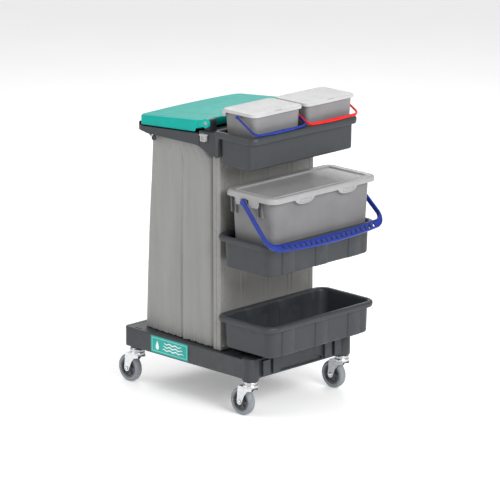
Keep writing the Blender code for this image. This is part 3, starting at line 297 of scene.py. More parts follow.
class Finish:
    """A material whose nodes are added by short calls."""

    def __init__(self, name):
        self.material = bpy.data.materials.new(name)
        self.material.use_nodes = True
        self.tree = self.material.node_tree
        self.shader = self.tree.nodes["Principled BSDF"]
        self.place = self.add("ShaderNodeTexCoord").outputs["Object"]

    def add(self, kind, **settings):
        node = self.tree.nodes.new(kind)
        for key, value in settings.items():
            setattr(node, key, value)
        return node

    def link(self, output, target):
        self.tree.links.new(output, target)

    def stretched(self, scale):
        mapping = self.add("ShaderNodeMapping")
        self.link(self.place, mapping.inputs["Vector"])
        mapping.inputs["Scale"].default_value = scale
        return mapping.outputs["Vector"]

    def cloud(self, scale, detail=4.0, vector=None):
        node = self.add("ShaderNodeTexNoise")
        self.link(vector or self.place, node.inputs["Vector"])
        node.inputs["Scale"].default_value = scale
        node.inputs["Detail"].default_value = detail
        return node.outputs["Fac"]

    def cells(self, scale, feature="F1"):
        node = self.add("ShaderNodeTexVoronoi", feature=feature)
        self.link(self.place, node.inputs["Vector"])
        node.inputs["Scale"].default_value = scale
        return node.outputs["Distance"]

    def ranged(self, value, low, high, start=0.3, end=0.7):
        node = self.add("ShaderNodeMapRange")
        self.link(value, node.inputs["Value"])
        node.inputs["From Min"].default_value = start
        node.inputs["From Max"].default_value = end
        node.inputs["To Min"].default_value = low
        node.inputs["To Max"].default_value = high
        return node.outputs["Result"]

    def mixed(self, factor, a, b):
        """Colour a where factor is 0 and b where it is 1. Each is a colour or an output."""
        node = self.add("ShaderNodeMix", data_type="RGBA")
        self.link(factor, node.inputs[0])
        for value, socket in ((a, node.inputs[6]), (b, node.inputs[7])):
            if isinstance(value, tuple):
                socket.default_value = (*value, 1.0)
            else:
                self.link(value, socket)
        return node.outputs[2]

    def mottled(self, scale, detail, dark, light):
        """A soft noise between two colours."""
        return self.mixed(self.ranged(self.cloud(scale, detail), 0.0, 1.0), dark, light)

    def combined(self, operation, a, b):
        node = self.add("ShaderNodeMath", operation=operation)
        for value, socket in ((a, node.inputs[0]), (b, node.inputs[1])):
            if isinstance(value, float):
                socket.default_value = value
            else:
                self.link(value, socket)
        return node.outputs[0]

    def bumped(self, layers):
        """Stack bumps of (height, strength, distance)."""
        normal = None
        for height, strength, distance in layers:
            node = self.add("ShaderNodeBump")
            node.inputs["Strength"].default_value = strength
            node.inputs["Distance"].default_value = distance
            self.link(height, node.inputs["Height"])
            if normal:
                self.link(normal, node.inputs["Normal"])
            normal = node.outputs["Normal"]
        self.link(normal, self.shader.inputs["Normal"])


def shifted(colour, factor):
    return tuple(min(c * factor, 1.0) for c in colour)


def plastic(name, slot, colour, roughness, grain=0.1, worn=1.35, dusty=0.03, gloss=0.42):
    """Moulded plastic: fine grain, faint flow marks, scuffed edges and a little dust on top."""
    made = Finish(name)
    body = made.mottled(14.0, 5.0, shifted(colour, 0.93), shifted(colour, 1.06))
    edges = made.ranged(made.add("ShaderNodeNewGeometry").outputs["Pointiness"], 0.0, 1.0, 0.515, 0.6)
    patchy = made.combined("MULTIPLY", edges, made.ranged(made.cloud(60.0, 6.0), 0.0, 0.8, 0.45, 0.65))
    body = made.mixed(patchy, body, shifted(colour, worn))
    upward = made.add("ShaderNodeSeparateXYZ")
    made.link(made.add("ShaderNodeNewGeometry").outputs["Normal"], upward.inputs[0])
    dust = made.combined("MULTIPLY", made.ranged(upward.outputs["Z"], 0.0, dusty, 0.75, 1.0),
                         made.ranged(made.cloud(23.0, 7.0), 0.2, 1.0, 0.35, 0.7))
    body = made.mixed(dust, body, (0.62, 0.61, 0.58))
    made.link(body, made.shader.inputs["Base Color"])
    rough = made.combined("ADD", made.ranged(made.cloud(35.0, 6.0), roughness - 0.05, roughness + 0.05),
                          made.ranged(made.cloud(180.0, 2.0, made.stretched((1.0, 1.0, 6.0))), -0.02, 0.03))
    made.link(rough, made.shader.inputs["Roughness"])
    made.bumped([(made.cloud(1300.0, 3.0), grain, 0.0006), (made.cells(900.0), grain * 0.5, 0.0004),
                 (made.cloud(16.0, 2.0), 0.05, 0.004)])
    made.shader.inputs["Specular IOR Level"].default_value = gloss
    return Look(made.material, slot)


def vinyl(name, slot, colour):
    """Coated bag cloth: a faint woven backing, soft vertical wrinkles with painted shade in their hollows and
    painted highlight on their ridges, and small creases.
    """
    made = Finish(name)
    wrinkles_and_painted_shade = made.cloud(26.0, 5.0, made.stretched((1.0, 1.0, 0.09)))
    # Painted shade and highlight: the colour is darker in the hollows of the vertical wrinkles and lighter on
    # their ridges, from the same noise as their bump.
    body = made.mixed(made.ranged(wrinkles_and_painted_shade, 0.0, 1.0), shifted(colour, 0.9), shifted(colour, 1.07))
    body = made.mixed(made.ranged(made.cloud(5.0, 4.0), 0.0, 0.35), body, shifted(colour, 0.86))
    made.link(body, made.shader.inputs["Base Color"])
    made.link(made.ranged(made.cloud(40.0, 5.0), 0.4, 0.54), made.shader.inputs["Roughness"])
    weave = []
    for rotation in ("X", "Z"):
        wave = made.add("ShaderNodeTexWave", bands_direction=rotation)
        made.link(made.place, wave.inputs["Vector"])
        wave.inputs["Scale"].default_value = 420.0
        weave.append(wave.outputs["Fac"])
    threads = made.combined("ADD", weave[0], weave[1])
    creases = made.cloud(60.0, 6.0, made.stretched((1.0, 1.0, 0.3)))
    made.bumped([(threads, 0.06, 0.0003), (creases, 0.22, 0.0012), (wrinkles_and_painted_shade, 0.25, 0.003)])
    made.shader.inputs["Sheen Weight"].default_value = 0.08
    made.shader.inputs["Specular IOR Level"].default_value = 0.35
    return Look(made.material, slot)


def rubber(name, slot, colour):
    """Wheel rubber: matt, with a dusty tread."""
    made = Finish(name)
    body = made.mottled(90.0, 6.0, shifted(colour, 0.88), shifted(colour, 1.1))
    made.link(body, made.shader.inputs["Base Color"])
    made.link(made.ranged(made.cloud(150.0, 5.0), 0.55, 0.75), made.shader.inputs["Roughness"])
    made.bumped([(made.cloud(1500.0, 3.0), 0.14, 0.0006), (made.cloud(120.0, 3.0), 0.1, 0.0015)])
    return Look(made.material, slot)


def metal(name, slot, colour, roughness, brushed):
    """Plated steel: fine drawing marks and a few darker blotches."""
    made = Finish(name)
    body = made.mottled(120.0, 6.0, shifted(colour, 0.86), colour)
    made.link(body, made.shader.inputs["Base Color"])
    made.shader.inputs["Metallic"].default_value = 1.0
    marks = made.cloud(700.0, 4.0, made.stretched((1.0, 1.0, 0.06)))
    made.link(made.ranged(marks, roughness - 0.06, roughness + 0.08), made.shader.inputs["Roughness"])
    made.bumped([(marks, brushed, 0.0004), (made.cloud(260.0, 3.0), 0.04, 0.0006)])
    return Look(made.material, slot)


DARK = plastic("dark_plastic_look", "dark_plastic", (0.03, 0.034, 0.039), 0.46)
DEEP = plastic("bracket_look", "dark_plastic", (0.02, 0.023, 0.026), 0.48)
GREIGE = plastic("column_look", "column_plastic", (0.24, 0.236, 0.228), 0.46, worn=1.15)
PALE = plastic("pale_plastic_look", "pale_plastic", (0.36, 0.355, 0.35), 0.42, worn=1.1)
PRINT = {"grain": 0.03, "worn": 1.0, "dusty": 0.0}
TEAL = plastic("teal_look", "teal_plastic", (0.0, 0.37, 0.315), 0.48, grain=0.07, worn=1.05, dusty=0.0,
               gloss=0.18)
TEAL_PRINT = plastic("label_look", "label_print", (0.0, 0.33, 0.285), 0.34, **PRINT)
WHITE_PRINT = plastic("label_white_look", "label_print", (0.74, 0.78, 0.78), 0.34, **PRINT)
PALE_TEAL_PRINT = plastic("label_border_look", "label_print", (0.2, 0.56, 0.52), 0.34, **PRINT)
BUCKET = plastic("bucket_look", "bucket_plastic", (0.19, 0.188, 0.193), 0.4, worn=1.12)
LARGE_TUB = plastic("large_tub_look", "bucket_plastic", (0.158, 0.157, 0.161), 0.42, worn=1.12, gloss=0.34)
LARGE_LID = plastic("large_lid_look", "lid_plastic", (0.3, 0.299, 0.304), 0.38, grain=0.07, worn=1.08,
                    gloss=0.34)
SMALL_LID = plastic("small_lid_look", "lid_plastic", (0.44, 0.44, 0.44), 0.46, grain=0.07, worn=1.04,
                    dusty=0.0)
BLUE = plastic("blue_look", "blue_plastic", (0.012, 0.031, 0.24), 0.36, grain=0.06, worn=1.2, dusty=0.0,
               gloss=0.32)
RED = plastic("red_look", "red_plastic", (0.78, 0.008, 0.008), 0.36, grain=0.06, worn=1.05, dusty=0.0,
              gloss=0.3)
VINYL = vinyl("bag_look", "bag_vinyl", (0.255, 0.254, 0.25))
ZINC = metal("zinc_look", "zinc_steel", (0.72, 0.73, 0.74), 0.26, 0.05)
CHROME = metal("chrome_look", "chrome_steel", (0.86, 0.86, 0.88), 0.12, 0.02)
TYRE = rubber("tyre_look", "tyre_rubber", (0.215, 0.235, 0.252))
HUB = plastic("hub_look", "wheel_centre", (0.085, 0.09, 0.098), 0.5, grain=0.14)


# ---------------------------------------------------------------- base and label

def base():
    """A skirted deck with corner posts, a well, an arched end and four hooks."""
    low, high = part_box("base_frame")
    hook_proud, hook_width, post_over, post_drop, lip = 0.01, 0.034, 0.005, 0.006, 0.0055
    half = high.y - post_over
    front = high.x - hook_proud
    bottom, top = low.z + post_drop, high.z - lip
    wall = 0.004
    skirt = ring(low.x, front, half, 0.004, bottom, rear=0.02)
    deck = grown(skirt, -0.0006, z=top)
    rings = [skirt, skirt._replace(z=top)]
    rings += stack(deck, (-0.012, top), (-0.014, top - 0.002), (-0.03, top - 0.0024), (-0.22, top - 0.0024))
    shell = softened(rings[:5], 0.0035) + [rings[5]]
    under = stack(skirt, (-0.2, top - 0.012), (-wall, top - 0.012), (-wall, bottom))
    slab = stand_for("base_frame", "base_shell", skin_rings(under + shell, steps=14), DARK)

    for end, radius, crest in (("tray", 0.03, high.z), ("bag", 0.0245, top - 0.01)):
        head_low, head_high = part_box(f"caster_head_{end}_left")
        x = (head_low.x + head_high.x) / 2
        y = abs(head_low.y + head_high.y) / 2
        for side in SIDES.values():
            profile = [(radius - 0.002, low.z), (radius, low.z + 0.002), (radius, crest - 0.003),
                       (radius - 0.001, crest - 0.001), (radius - 0.003, crest)]
            join(slab, turned(profile, (x, side * y, 0), "Z", 48))

    well_x = (front - 0.142, front - 0.02)
    well_half, floor = 0.19, bottom + 0.022
    block = box((well_x[0] - wall, well_x[1] + wall), (-well_half - wall, well_half + wall),
                (floor - wall, top - 0.007))
    join(slab, block)
    well = ring(*well_x, well_half, 0.012, floor)
    cut(slab, skin_rings([well, grown(well, 0.001, z=high.z + 0.02)]))

    arch_half, arch_rise, arch_depth = 0.107, 0.027, 0.0065
    arch = [(arch_half * cos(a), bottom + 0.005 + arch_rise * sin(a) ** 0.75)
            for a in (pi * step / 32 for step in range(33))]
    join(slab, box((front - 0.016, front - wall / 2), (-0.125, 0.125), (bottom + 0.0005, top - 0.014)))
    cut(slab, prism_x(arch, front - arch_depth, front + 0.05))
    for side in SIDES.values():
        for centre in (0.1285, 0.1775):
            y = (side * centre - hook_width / 2, side * centre + hook_width / 2)
            hook = box((front - 0.001, front + hook_proud), y, (bottom + 0.006, top - 0.008))
            join(slab, hook)
            pocket = box((front + 0.0015, front + hook_proud - 0.0025), (y[0] + 0.004, y[1] - 0.004),
                         (top - 0.034, top + 0.01))
            cut(slab, pocket)
        slot_x = (low.x + 0.04, low.x + 0.078)
        slot_y = across(side, half - 0.0135, half - 0.022)
        cut(slab, skin([lifted(soft_rectangle(slot_x, slot_y, 0.004), z)
                        for z in (top - 0.0085, top + 0.02)]))
    shade(slab, 0.0011)


def droplet(centre, size, steps=28):
    """A water drop in (x, z), point up."""
    points = []
    for step in range(steps):
        t = 2 * pi * step / steps
        width = sin(t) * sin(t / 2) ** 1.6
        points.append((centre[0] + size * 0.72 * width, centre[1] + size * cos(t)))
    return points


def label():
    """The side label: a pale double border, a drop and rows of ripples, all generic."""
    low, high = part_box("side_label")
    x, z = (low.x, high.x), (low.z, high.z)
    plate = prism_y(soft_rectangle(x, z, 0.003, 6), low.y + 0.0003, high.y)
    shade(stand_for("side_label", "label_plate", plate, TEAL_PRINT), 0.0002)
    face, lift = low.y + 0.0003, 0.00012

    margin, line = 0.0055, 0.0026

    def frame_line(inset, radius):
        return soft_rectangle((x[0] + inset, x[1] - inset), (z[0] + inset, z[1] - inset), radius, 6)

    outer, inner = frame_line(margin, 0.004), frame_line(margin + line, 0.0025)
    edges = ((outer, face + lift), (outer, face - lift), (inner, face - lift), (inner, face + lift))
    bm = skin([[(px, y, pz) for px, pz in points] for points, y in edges], closed=True)
    shade(ride_with("side_label", "label_border", bm, PALE_TEAL_PRINT))

    middle = (z[0] + z[1]) / 2
    marks = prism_y(droplet((x[0] + 0.033, middle - 0.001), 0.0165), face - lift, face + lift)
    for row in range(3):
        level = middle + (row - 1) * 0.0115
        upper, lower = [], []
        start, end = x[0] + 0.058 + row * 0.004, x[1] - 0.02 - row * 0.006
        for step in range(49):
            at = start + (end - start) * step / 48
            swell = 0.0022 * sin(2 * pi * (at - start) / 0.03 + row)
            taper = 0.0021 * sin(pi * step / 48) ** 0.35 + 0.0001
            upper.append((at, level + swell + taper))
            lower.append((at, level + swell - taper))
        prism_y(lower + upper[::-1], face - lift, face + lift, bm=marks)
    shade(ride_with("side_label", "label_drop_and_ripples", marks, WHITE_PRINT))


# ---------------------------------------------------------------- column and trays

def column():
    """The hollow panel, with pairs of ribs, a groove and a seam at each side."""
    low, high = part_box("column_panel")
    proud, width, pitch, pairs, wall = 0.002, 0.012, 0.022, (-0.116, 0.0, 0.116), 0.003
    front = high.x - proud
    half = high.y
    edge = 0.004

    def ribbed():
        points = arc((low.x + edge, half - edge), edge, 90, 180, 5)
        points += arc((low.x + edge, edge - half), edge, 180, 270, 5)
        points += arc((front - edge, edge - half), edge, 270, 360, 5)
        for pair in pairs:
            for centre in (pair - pitch / 2, pair + pitch / 2):
                for step in range(9):
                    share = step / 8
                    bulge = min(1.0, 2.6 * sin(pi * share)) * proud
                    points.append((front + bulge, centre + (share - 0.5) * width))
        return points + arc((front - edge, half - edge), edge, 0, 90, 5)

    outer = ribbed()
    shell = skin([lifted(outer, low.z), lifted(outer, high.z)])
    made = stand_for("column_panel", "column_shell", shell, GREIGE)
    hollow = box((low.x + wall, front - wall), (wall - half, half - wall), (low.z - 0.01, high.z - wall))
    cut(made, hollow)
    groove_depth, groove_half = 0.0012, 0.0015
    for side in SIDES.values():
        y = side * (half - 0.022)
        cut(made, box((front - groove_depth, front + 0.01), (y - groove_half, y + groove_half),
                      (low.z - 0.01, high.z + 0.01)))
        seam = across(side, half - groove_depth, half + 0.01)
        cut(made, box((front - 0.0205, front - 0.0183), seam, (low.z - 0.01, high.z + 0.01)))
    shade(made, 0.0006)


def screw_caps():
    """The cross-slotted heads of the column's screws."""
    for level in ("low", "high"):
        for side_name in SIDES:
            node = f"column_screw_{level}_{side_name}"
            lo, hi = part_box(node)
            centre = (lo + hi) / 2
            radius, depth = (hi.y - lo.y) / 2, hi.x - lo.x
            profile = [(radius, 0.0), (radius, depth * 0.35), (radius * 0.86, depth * 0.75),
                       (radius * 0.5, depth * 0.95), (radius * 0.16, depth)]
            bm = turned(profile, (0, 0, 0), "Z", 28)
            bmesh.ops.rotate(bm, verts=bm.verts, matrix=Matrix.Rotation(pi / 2, 3, "Y"))
            bmesh.ops.translate(bm, verts=bm.verts, vec=(lo.x, centre.y, centre.z))
            cap = stand_for(node, f"screw_cap_{level}_{side_name}", bm, PALE)
            slot_half = radius * 0.14
            for a, b in ((slot_half, radius * 0.62), (radius * 0.62, slot_half)):
                cut(cap, box((lo.x + depth * 0.6, hi.x + 0.01), (centre.y - a, centre.y + a),
                             (centre.z - b, centre.z + b)))
            shade(cap)


def lower_tray(node, name):
    """A deep tray with a rolled rim and pleats in both long walls."""
    low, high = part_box(node)
    wall, rim_depth = 0.003, 0.021
    foot = ring(low.x + 0.0255, high.x - 0.0195, high.y - 0.023, 0.032, low.z, proud=0.003)
    body = grown(foot, 0.003, z=high.z - rim_depth + 0.001)
    rim = ring(low.x, high.x, high.y, 0.05, high.z, proud=0.0)
    mouth = ring(low.x + 0.023, high.x - 0.019, high.y - 0.019, 0.031, high.z, proud=0.0)
    inner_foot = grown(foot, -wall, z=low.z + wall)
    outside = [grown(foot, -0.06, proud=0.0), grown(foot, -0.004), grown(foot, 0.0, z=low.z + 0.005), body,
               grown(rim, -0.0035, z=high.z - rim_depth), grown(rim, -0.0012, z=high.z - rim_depth + 0.0035),
               grown(rim, 0.0, z=high.z - 0.006), grown(rim, -0.0065)]
    inside = [grown(mouth, 0.0035), grown(mouth, -0.002, z=high.z - 0.008, proud=0.0015),
              grown(inner_foot, 0.002, z=high.z - 0.04), grown(inner_foot, 0.0, z=low.z + wall + 0.004),
              grown(inner_foot, -0.006), grown(inner_foot, -0.06, proud=0.0)]
    rings = softened(outside + inside, 0.0032, 3)
    tray = stand_for(node, name, skin_rings(rings, steps=12, pleats=PLEATS), DARK)
    shade(tray, angle=50)


def top_tray():
    """The top tray, with an arm down each side of the column."""
    low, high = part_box("top_tray")
    wall, rim_depth = 0.003, 0.025
    foot = ring(low.x + 0.006, high.x - 0.023, high.y - 0.0106, 0.0165, low.z, rear=0.0305)
    body = grown(foot, 0.0015, z=high.z - rim_depth + 0.002)
    rim = ring(low.x, high.x, high.y, 0.03, high.z, rear=0.006)
    mouth = ring(low.x + 0.0075, high.x - 0.02, high.y - 0.0138, 0.014, high.z, rear=0.006)
    inner_foot = grown(foot, -wall, z=low.z + wall)
    outside = [grown(foot, -0.055), grown(foot, -0.004), grown(foot, 0.0, z=low.z + 0.005), body,
               grown(rim, -0.004, z=high.z - rim_depth), grown(rim, -0.0012, z=high.z - rim_depth + 0.004),
               grown(rim, 0.0, z=high.z - 0.007), grown(rim, -0.0035)]
    inside = [grown(mouth, 0.002), grown(mouth, -0.001, z=high.z - 0.007),
              grown(body, -wall, z=high.z - rim_depth), grown(inner_foot, 0.0, z=low.z + wall + 0.004),
              grown(inner_foot, -0.006), grown(inner_foot, -0.055)]
    rings = softened(outside + inside, 0.003, 3)
    tray = stand_for("top_tray", "top_tray_shell", skin_rings(rings, steps=12), DARK)
    drop, width = 0.094, 0.017
    for side in SIDES.values():
        y = across(side, high.y - 0.0122, high.y - 0.002)
        x0, x1, z1 = low.x + 0.001, low.x + width, high.z - rim_depth + 0.004
        angles = [pi / 2 * n / 8 for n in range(9)]
        curve = [(x1 + 0.01 * (1 - cos(a)), z1 - 0.022 + 0.022 * sin(a)) for a in angles]
        plate = [(x0, z1), (x0, high.z - drop), (x1 - 0.01, high.z - drop),
                 (x1 - 0.002, high.z - drop + 0.004), (x1, high.z - drop + 0.012)] + curve
        join(tray, prism_y(plate, *y))
    shade(tray, 0.0009, angle=50, segments=2)


def brackets():
    """The plates between trays and column, with two slots each."""
    for node in ("bottom_tray_bracket", "middle_tray_bracket", "top_tray_bracket"):
        low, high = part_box(node)
        points = soft_rectangle((low.y, high.y), (low.z, high.z), 0.006)
        made = stand_for(node, f"{node}_plate", prism_x(points, low.x, high.x), DARK)
        for share in (-0.6, 0.6):
            y, z = high.y * share, (low.z + high.z) / 2
            cut(made, prism_x(soft_rectangle((y - 0.016, y + 0.016), (z - 0.006, z + 0.006), 0.004),
                              low.x - 0.01, high.x + 0.01))
        shade(made, 0.0006)


# ---------------------------------------------------------------- bag frame and lid

def bag_frame():
    """The ring that holds the bag, from its nose to its head on the column."""
    low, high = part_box("bag_frame")
    column_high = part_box("column_panel")[1]
    tip, end, top = low.x, high.x, high.z
    rail_low, rail_rise = low.z + 0.03, 0.066
    rail_top = low.z + 0.05
    lip, lip_top = 0.007, rail_low + 0.032

    def rail(x):
        return rail_top + rail_rise * (x - tip)

    nose = [(tip, rail_low + 0.015), (tip + 0.0008, rail_low + 0.0115), (tip + 0.004, rail_low + 0.009),
            (tip + 0.012, rail_low + 0.0077), (tip + 0.03, rail_low + 0.006),
            (tip + 0.046, rail_low + 0.0032), (tip + 0.058, rail_low + 0.001), (tip + 0.068, rail_low)]
    sweep = [(end - 0.1035, rail_low), (end - 0.09, rail_low - 0.0022), (end - 0.0788, rail_low - 0.006),
             (end - 0.066, rail_low - 0.0108), (end - 0.0543, rail_low - 0.015),
             (end - 0.042, rail_low - 0.0202), (end - 0.0299, rail_low - 0.025), (end, low.z)]
    cheek = nose + sweep + [(end, top), (end - 0.0825, top), (end - 0.0845, rail(end - 0.0845)),
                            (tip + lip + 0.004, rail(tip + lip + 0.004)),
                            (tip + lip + 0.001, rail(tip + lip) + 0.002), (tip + lip, lip_top - 0.002),
                            (tip + lip - 0.002, lip_top), (tip + 0.0025, lip_top),
                            (tip + 0.0006, lip_top - 0.0012), (tip, lip_top - 0.0035)]
    made = stand_for("bag_frame", "bag_frame_shell", prism_y(cheek, -high.y, high.y), DARK)
    plan = ring(tip, end, high.y, 0.001, low.z - 0.02, rear=0.034)
    combine(made, "INTERSECT", skin_rings([plan, plan._replace(z=top + 0.05)], steps=14))
    mouth = ring(tip + 0.0475, end - 0.0745, high.y - 0.0175, 0.03, low.z - 0.02)
    cut(made, skin_rings([mouth, mouth._replace(z=top + 0.05)], steps=12))
    seat = column_high.y + 0.001
    cut(made, box((end - 0.0605, end + 0.01), (-seat, seat), (low.z - 0.02, column_high.z + AIR)))
    cheek_in = 0.0013
    for side in SIDES.values():
        thin = across(side, high.y - cheek_in, high.y + 0.01)
        cut(made, box((end - 0.0845, end - 0.0395), thin, (low.z - 0.01, top - 0.01)))
    groove_x = (end - 0.03, end - 0.016)
    cut(made, box(groove_x, (0.024 - high.y, high.y - 0.024), (top - 0.004, top + 0.01)))
    shade(made, 0.0014)


def hinge(side_name, side):
    """One side's hinge: a stand with drain slots and its pin."""
    low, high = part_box(f"hinge_bracket_{side_name}")
    pin_low, pin_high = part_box(f"hinge_pin_{side_name}")
    x, z = (pin_low.x + pin_high.x) / 2, (pin_low.z + pin_high.z) / 2
    radius = (pin_high.x - pin_low.x) / 2
    half = (high.x - low.x) / 2
    stand = [(low.x, low.z), (high.x, low.z)] + arc((x, z), half, 0, 180, 16)
    block = prism_y(stand, low.y, high.y)
    made = stand_for(f"hinge_bracket_{side_name}", f"hinge_stand_{side_name}", block, DEEP)
    cut(made, rod_y((x, z), radius + AIR, low.y - 0.01, high.y + 0.01))
    for step in range(4):
        y = low.y + 0.0055 + step * (high.y - low.y - 0.011) / 3
        cut(made, box((high.x - 0.003, high.x + 0.01), (y - 0.0016, y + 0.0016),
                      (low.z - 0.01, z - 0.004)))
    shade(made, 0.0008)

    near, far = sorted((pin_low.y, pin_high.y), key=abs)
    profile = [(radius - 0.0006, near), (radius, near + side * 0.0006), (radius, far - side * 0.0012),
               (radius * 0.86, far - side * 0.0003), (radius * 0.62, far),
               (radius * 0.55, far - side * 0.0016), (radius * 0.15, far - side * 0.0018)]
    pin = stand_for(f"hinge_pin_{side_name}", f"hinge_peg_{side_name}", turned(profile, (x, 0, z), "Y"),
                    PALE)
    shade(pin)


def latch(side_name, side):
    """A side latch with a finger hollow."""
    low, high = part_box(f"frame_latch_{side_name}")
    near, far = sorted((low.y, high.y), key=abs)
    cap_z = high.z - 0.0065
    body = soft_rectangle((low.x + 0.0025, high.x - 0.0025), (low.z, cap_z + 0.001), 0.0045)
    block = prism_y(body, *sorted((near, far - side * 0.0015)))
    made = stand_for(f"frame_latch_{side_name}", f"latch_{side_name}", block, PALE)
    cap = soft_rectangle((low.x, high.x), (cap_z, high.z), 0.0025)
    join(made, prism_y(cap, *sorted((near, far))))
    middle = (low.x + high.x) / 2
    finger = soft_rectangle((middle - 0.008, middle + 0.006), (low.z + 0.005, cap_z - 0.003), 0.003)
    cut(made, prism_y(finger, *sorted((far - side * 0.0045, far + side * 0.01))))
    shade(made, 0.0008)


def bag_clip(side_name):
    """A rounded clip with an eye for the bag."""
    low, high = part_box(f"bag_clip_{side_name}")
    hook = soft_rectangle((low.x, high.x), (low.z, high.z), 0.0075, 8)
    made = stand_for(f"bag_clip_{side_name}", f"clip_{side_name}", prism_y(hook, low.y, high.y), DARK)
    eye = ((low.x + high.x) / 2, low.z + 0.0085)
    cut(made, rod_y(eye, 0.0035, low.y - 0.01, high.y + 0.01))
    shade(made, 0.0012)


def ball_stud(side_name):
    """A ball on a short neck, for the bag to hook on."""
    low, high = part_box(f"bag_ball_hook_{side_name}")
    centre = (low + high) / 2
    size = (high.z - low.z) / 2
    profile = [(size * 0.42, 0.0078), (size * 0.42, size * 0.85)]
    profile += arc((0, 0), size, 70, -85, 14)
    stud = stand_for(f"bag_ball_hook_{side_name}", f"ball_stud_{side_name}",
                     turned(profile, centre, "Z", 28), CHROME)
    shade(stud)


def main_lid():
    """A crowned lid, open below, with an ear at each hinge."""
    low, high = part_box("main_lid")
    pin_low, pin_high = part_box("hinge_pin_left")
    hinge = ((pin_low.x + pin_high.x) / 2, (pin_low.z + pin_high.z) / 2)
    free, end = low.x, hinge[0] - 0.0195
    half = high.y
    top_slope, low_slope, crown, bow, wall, edge = 0.0945, 0.0663, 0.009, 0.0042, 0.003, 0.0055
    step_x, step_rise, step_run = end - 0.032, 0.013, 0.006
    free_low = low.z
    free_top = free_low + 0.0326

    def top(x):
        return free_top + top_slope * (x - free)

    def lower(x):
        rise = max(0.0, min(1.0, (x - step_x) / step_run)) * step_rise
        return free_low + low_slope * (x - free) + rise

    shape = ring(free, end, half, 0.028, 0.0)
    stations = [free + 0.04 + 0.02 * i for i in range(10)] + [step_x - 0.0005, step_x + 0.002, step_x + 0.004,
                                                             step_x + step_run + 0.0005]
    stations = [x for x in stations if x < end - 0.0285]
    fractions = [i / 14 for i in range(1, 14)]

    def plan(amount):
        inner = grown(shape, -amount)
        quarters = quarters_of(inner, 0.0, 10)
        edge_y = inner.half
        fore = [(inner.front, (2 * f - 1) * (edge_y - inner.corner)) for f in fractions]
        aft = [(inner.back, (1 - 2 * f) * (edge_y - inner.rear)) for f in fractions]
        left = [(x, -edge_y) for x in stations]
        right = [(x, edge_y) for x in reversed(stations)]
        return quarters[0] + fore + quarters[1] + right + quarters[2] + aft + quarters[3] + left

    middle = Vector(((free + end) / 2, 0))

    def scaled(points, scale):
        return [(middle.x + (x - middle.x) * scale, y * scale) for x, y in points]

    def lifted_crown(points, drop):
        """Raise a plan to the top surface, which is also bowed across its width towards the free edge."""
        made = []
        for x, y in points:
            bowed = bow * (1 - (y / half) ** 2) * min(1.0, (end - x) / 0.12)
            made.append((x, y, top(x) - drop + bowed))
        return made

    def crowned(points, scale, extra=0.0):
        rise = (crown - bow) * (1 - scale ** 2) + extra
        return lifted_crown(scaled(points, scale), -rise)

    outside, inside = plan(edge), plan(wall)
    loops = [crowned(inside, s, -wall) for s in (0.05, 0.3, 0.6, 0.85, 0.96)]
    loops += [lifted_crown(inside, wall + 0.003), lifted(inside, lambda x: lower(x) + 0.0006)]
    loops += [lifted(plan(wall - 0.0006), lower), lifted(plan(0.0006), lower)]
    loops.append(lifted(plan(0.0), lambda x: lower(x) + 0.0006))
    for step in range(7):
        angle = pi / 2 * step / 6
        loops.append(lifted_crown(plan(edge * (1 - cos(angle))), edge * (1 - sin(angle))))
    ridge = {0.955: 0.0, 0.945: 0.0005, 0.935: 0.0005, 0.925: 0.0}
    for scale in (0.98, 0.955, 0.945, 0.935, 0.925, 0.85, 0.75, 0.6, 0.45, 0.3, 0.15, 0.05):
        loops.append(crowned(outside, scale, ridge.get(scale, 0.0)))
    lid = stand_for("main_lid", "lid_shell", skin(loops), TEAL)
    ear_r, root = 0.0165, end - 0.012
    for side in SIDES.values():
        y = across(side, half - 0.0088, half - 0.0006)
        disc = arc(hinge, ear_r, -125, 92, 26)
        ear = disc + [(root, top(root) - 0.004), (root, lower(root) + 0.004)]
        join(lid, prism_y(ear, *y))
        bore_y = across(side, half - 0.0128, half + 0.01)
        cut(lid, rod_y(hinge, (pin_high.x - pin_low.x) / 2 + AIR, *bore_y))
    shade(lid, 0.001, angle=45)


# ---------------------------------------------------------------- waste bag

BAG_ROUND = 560                 # points round the bag
BAG_LEVELS = 190                # points down it
CLOTH = 0.0012                  # from the outer face to the inner one


def even_loop(shape, count):
    """Points at even spacing round a ring, starting at its low corner at the tray end."""
    corners = outline(shape, steps=16)
    lengths = [0.0]
    for a, b in zip(corners, corners[1:] + corners[:1]):
        lengths.append(lengths[-1] + hypot(b[0] - a[0], b[1] - a[1]))
    points, index = [], 0
    for step in range(count):
        target = lengths[-1] * step / count
        while lengths[index + 1] < target:
            index += 1
        share = (target - lengths[index]) / max(lengths[index + 1] - lengths[index], 1e-9)
        a, b = corners[index], corners[(index + 1) % len(corners)]
        points.append((a[0] + (b[0] - a[0]) * share, a[1] + (b[1] - a[1]) * share))
    return points


def bump(distance, width):
    """A smooth hill, 1 at distance 0."""
    return exp(-(distance / width) ** 2)


# Each fold: place along a face, width, height and how far down it reaches
BAG_FOLDS = ((0.545, 0.014, -0.0052, 1.0), (0.58, 0.016, 0.005, 1.0), (0.7, 0.06, -0.0026, 0.9),
             (0.3, 0.09, 0.0024, 0.7), (0.1, 0.045, -0.0014, 0.5), (0.9, 0.035, -0.0016, 0.7))
# Each pucker: place along the side, drop below the mouth, length, slant and depth
BAG_PUCKERS = ((0.5, 0.075, 0.05, 0.34, -0.0022), (0.535, 0.12, 0.06, 0.22, 0.0018),
               (0.62, 0.085, 0.04, -0.3, -0.0016), (0.47, 0.17, 0.06, 0.12, -0.0012),
               (0.4, 0.56, 0.07, -0.1, -0.002), (0.66, 0.3, 0.11, 0.06, -0.0014))


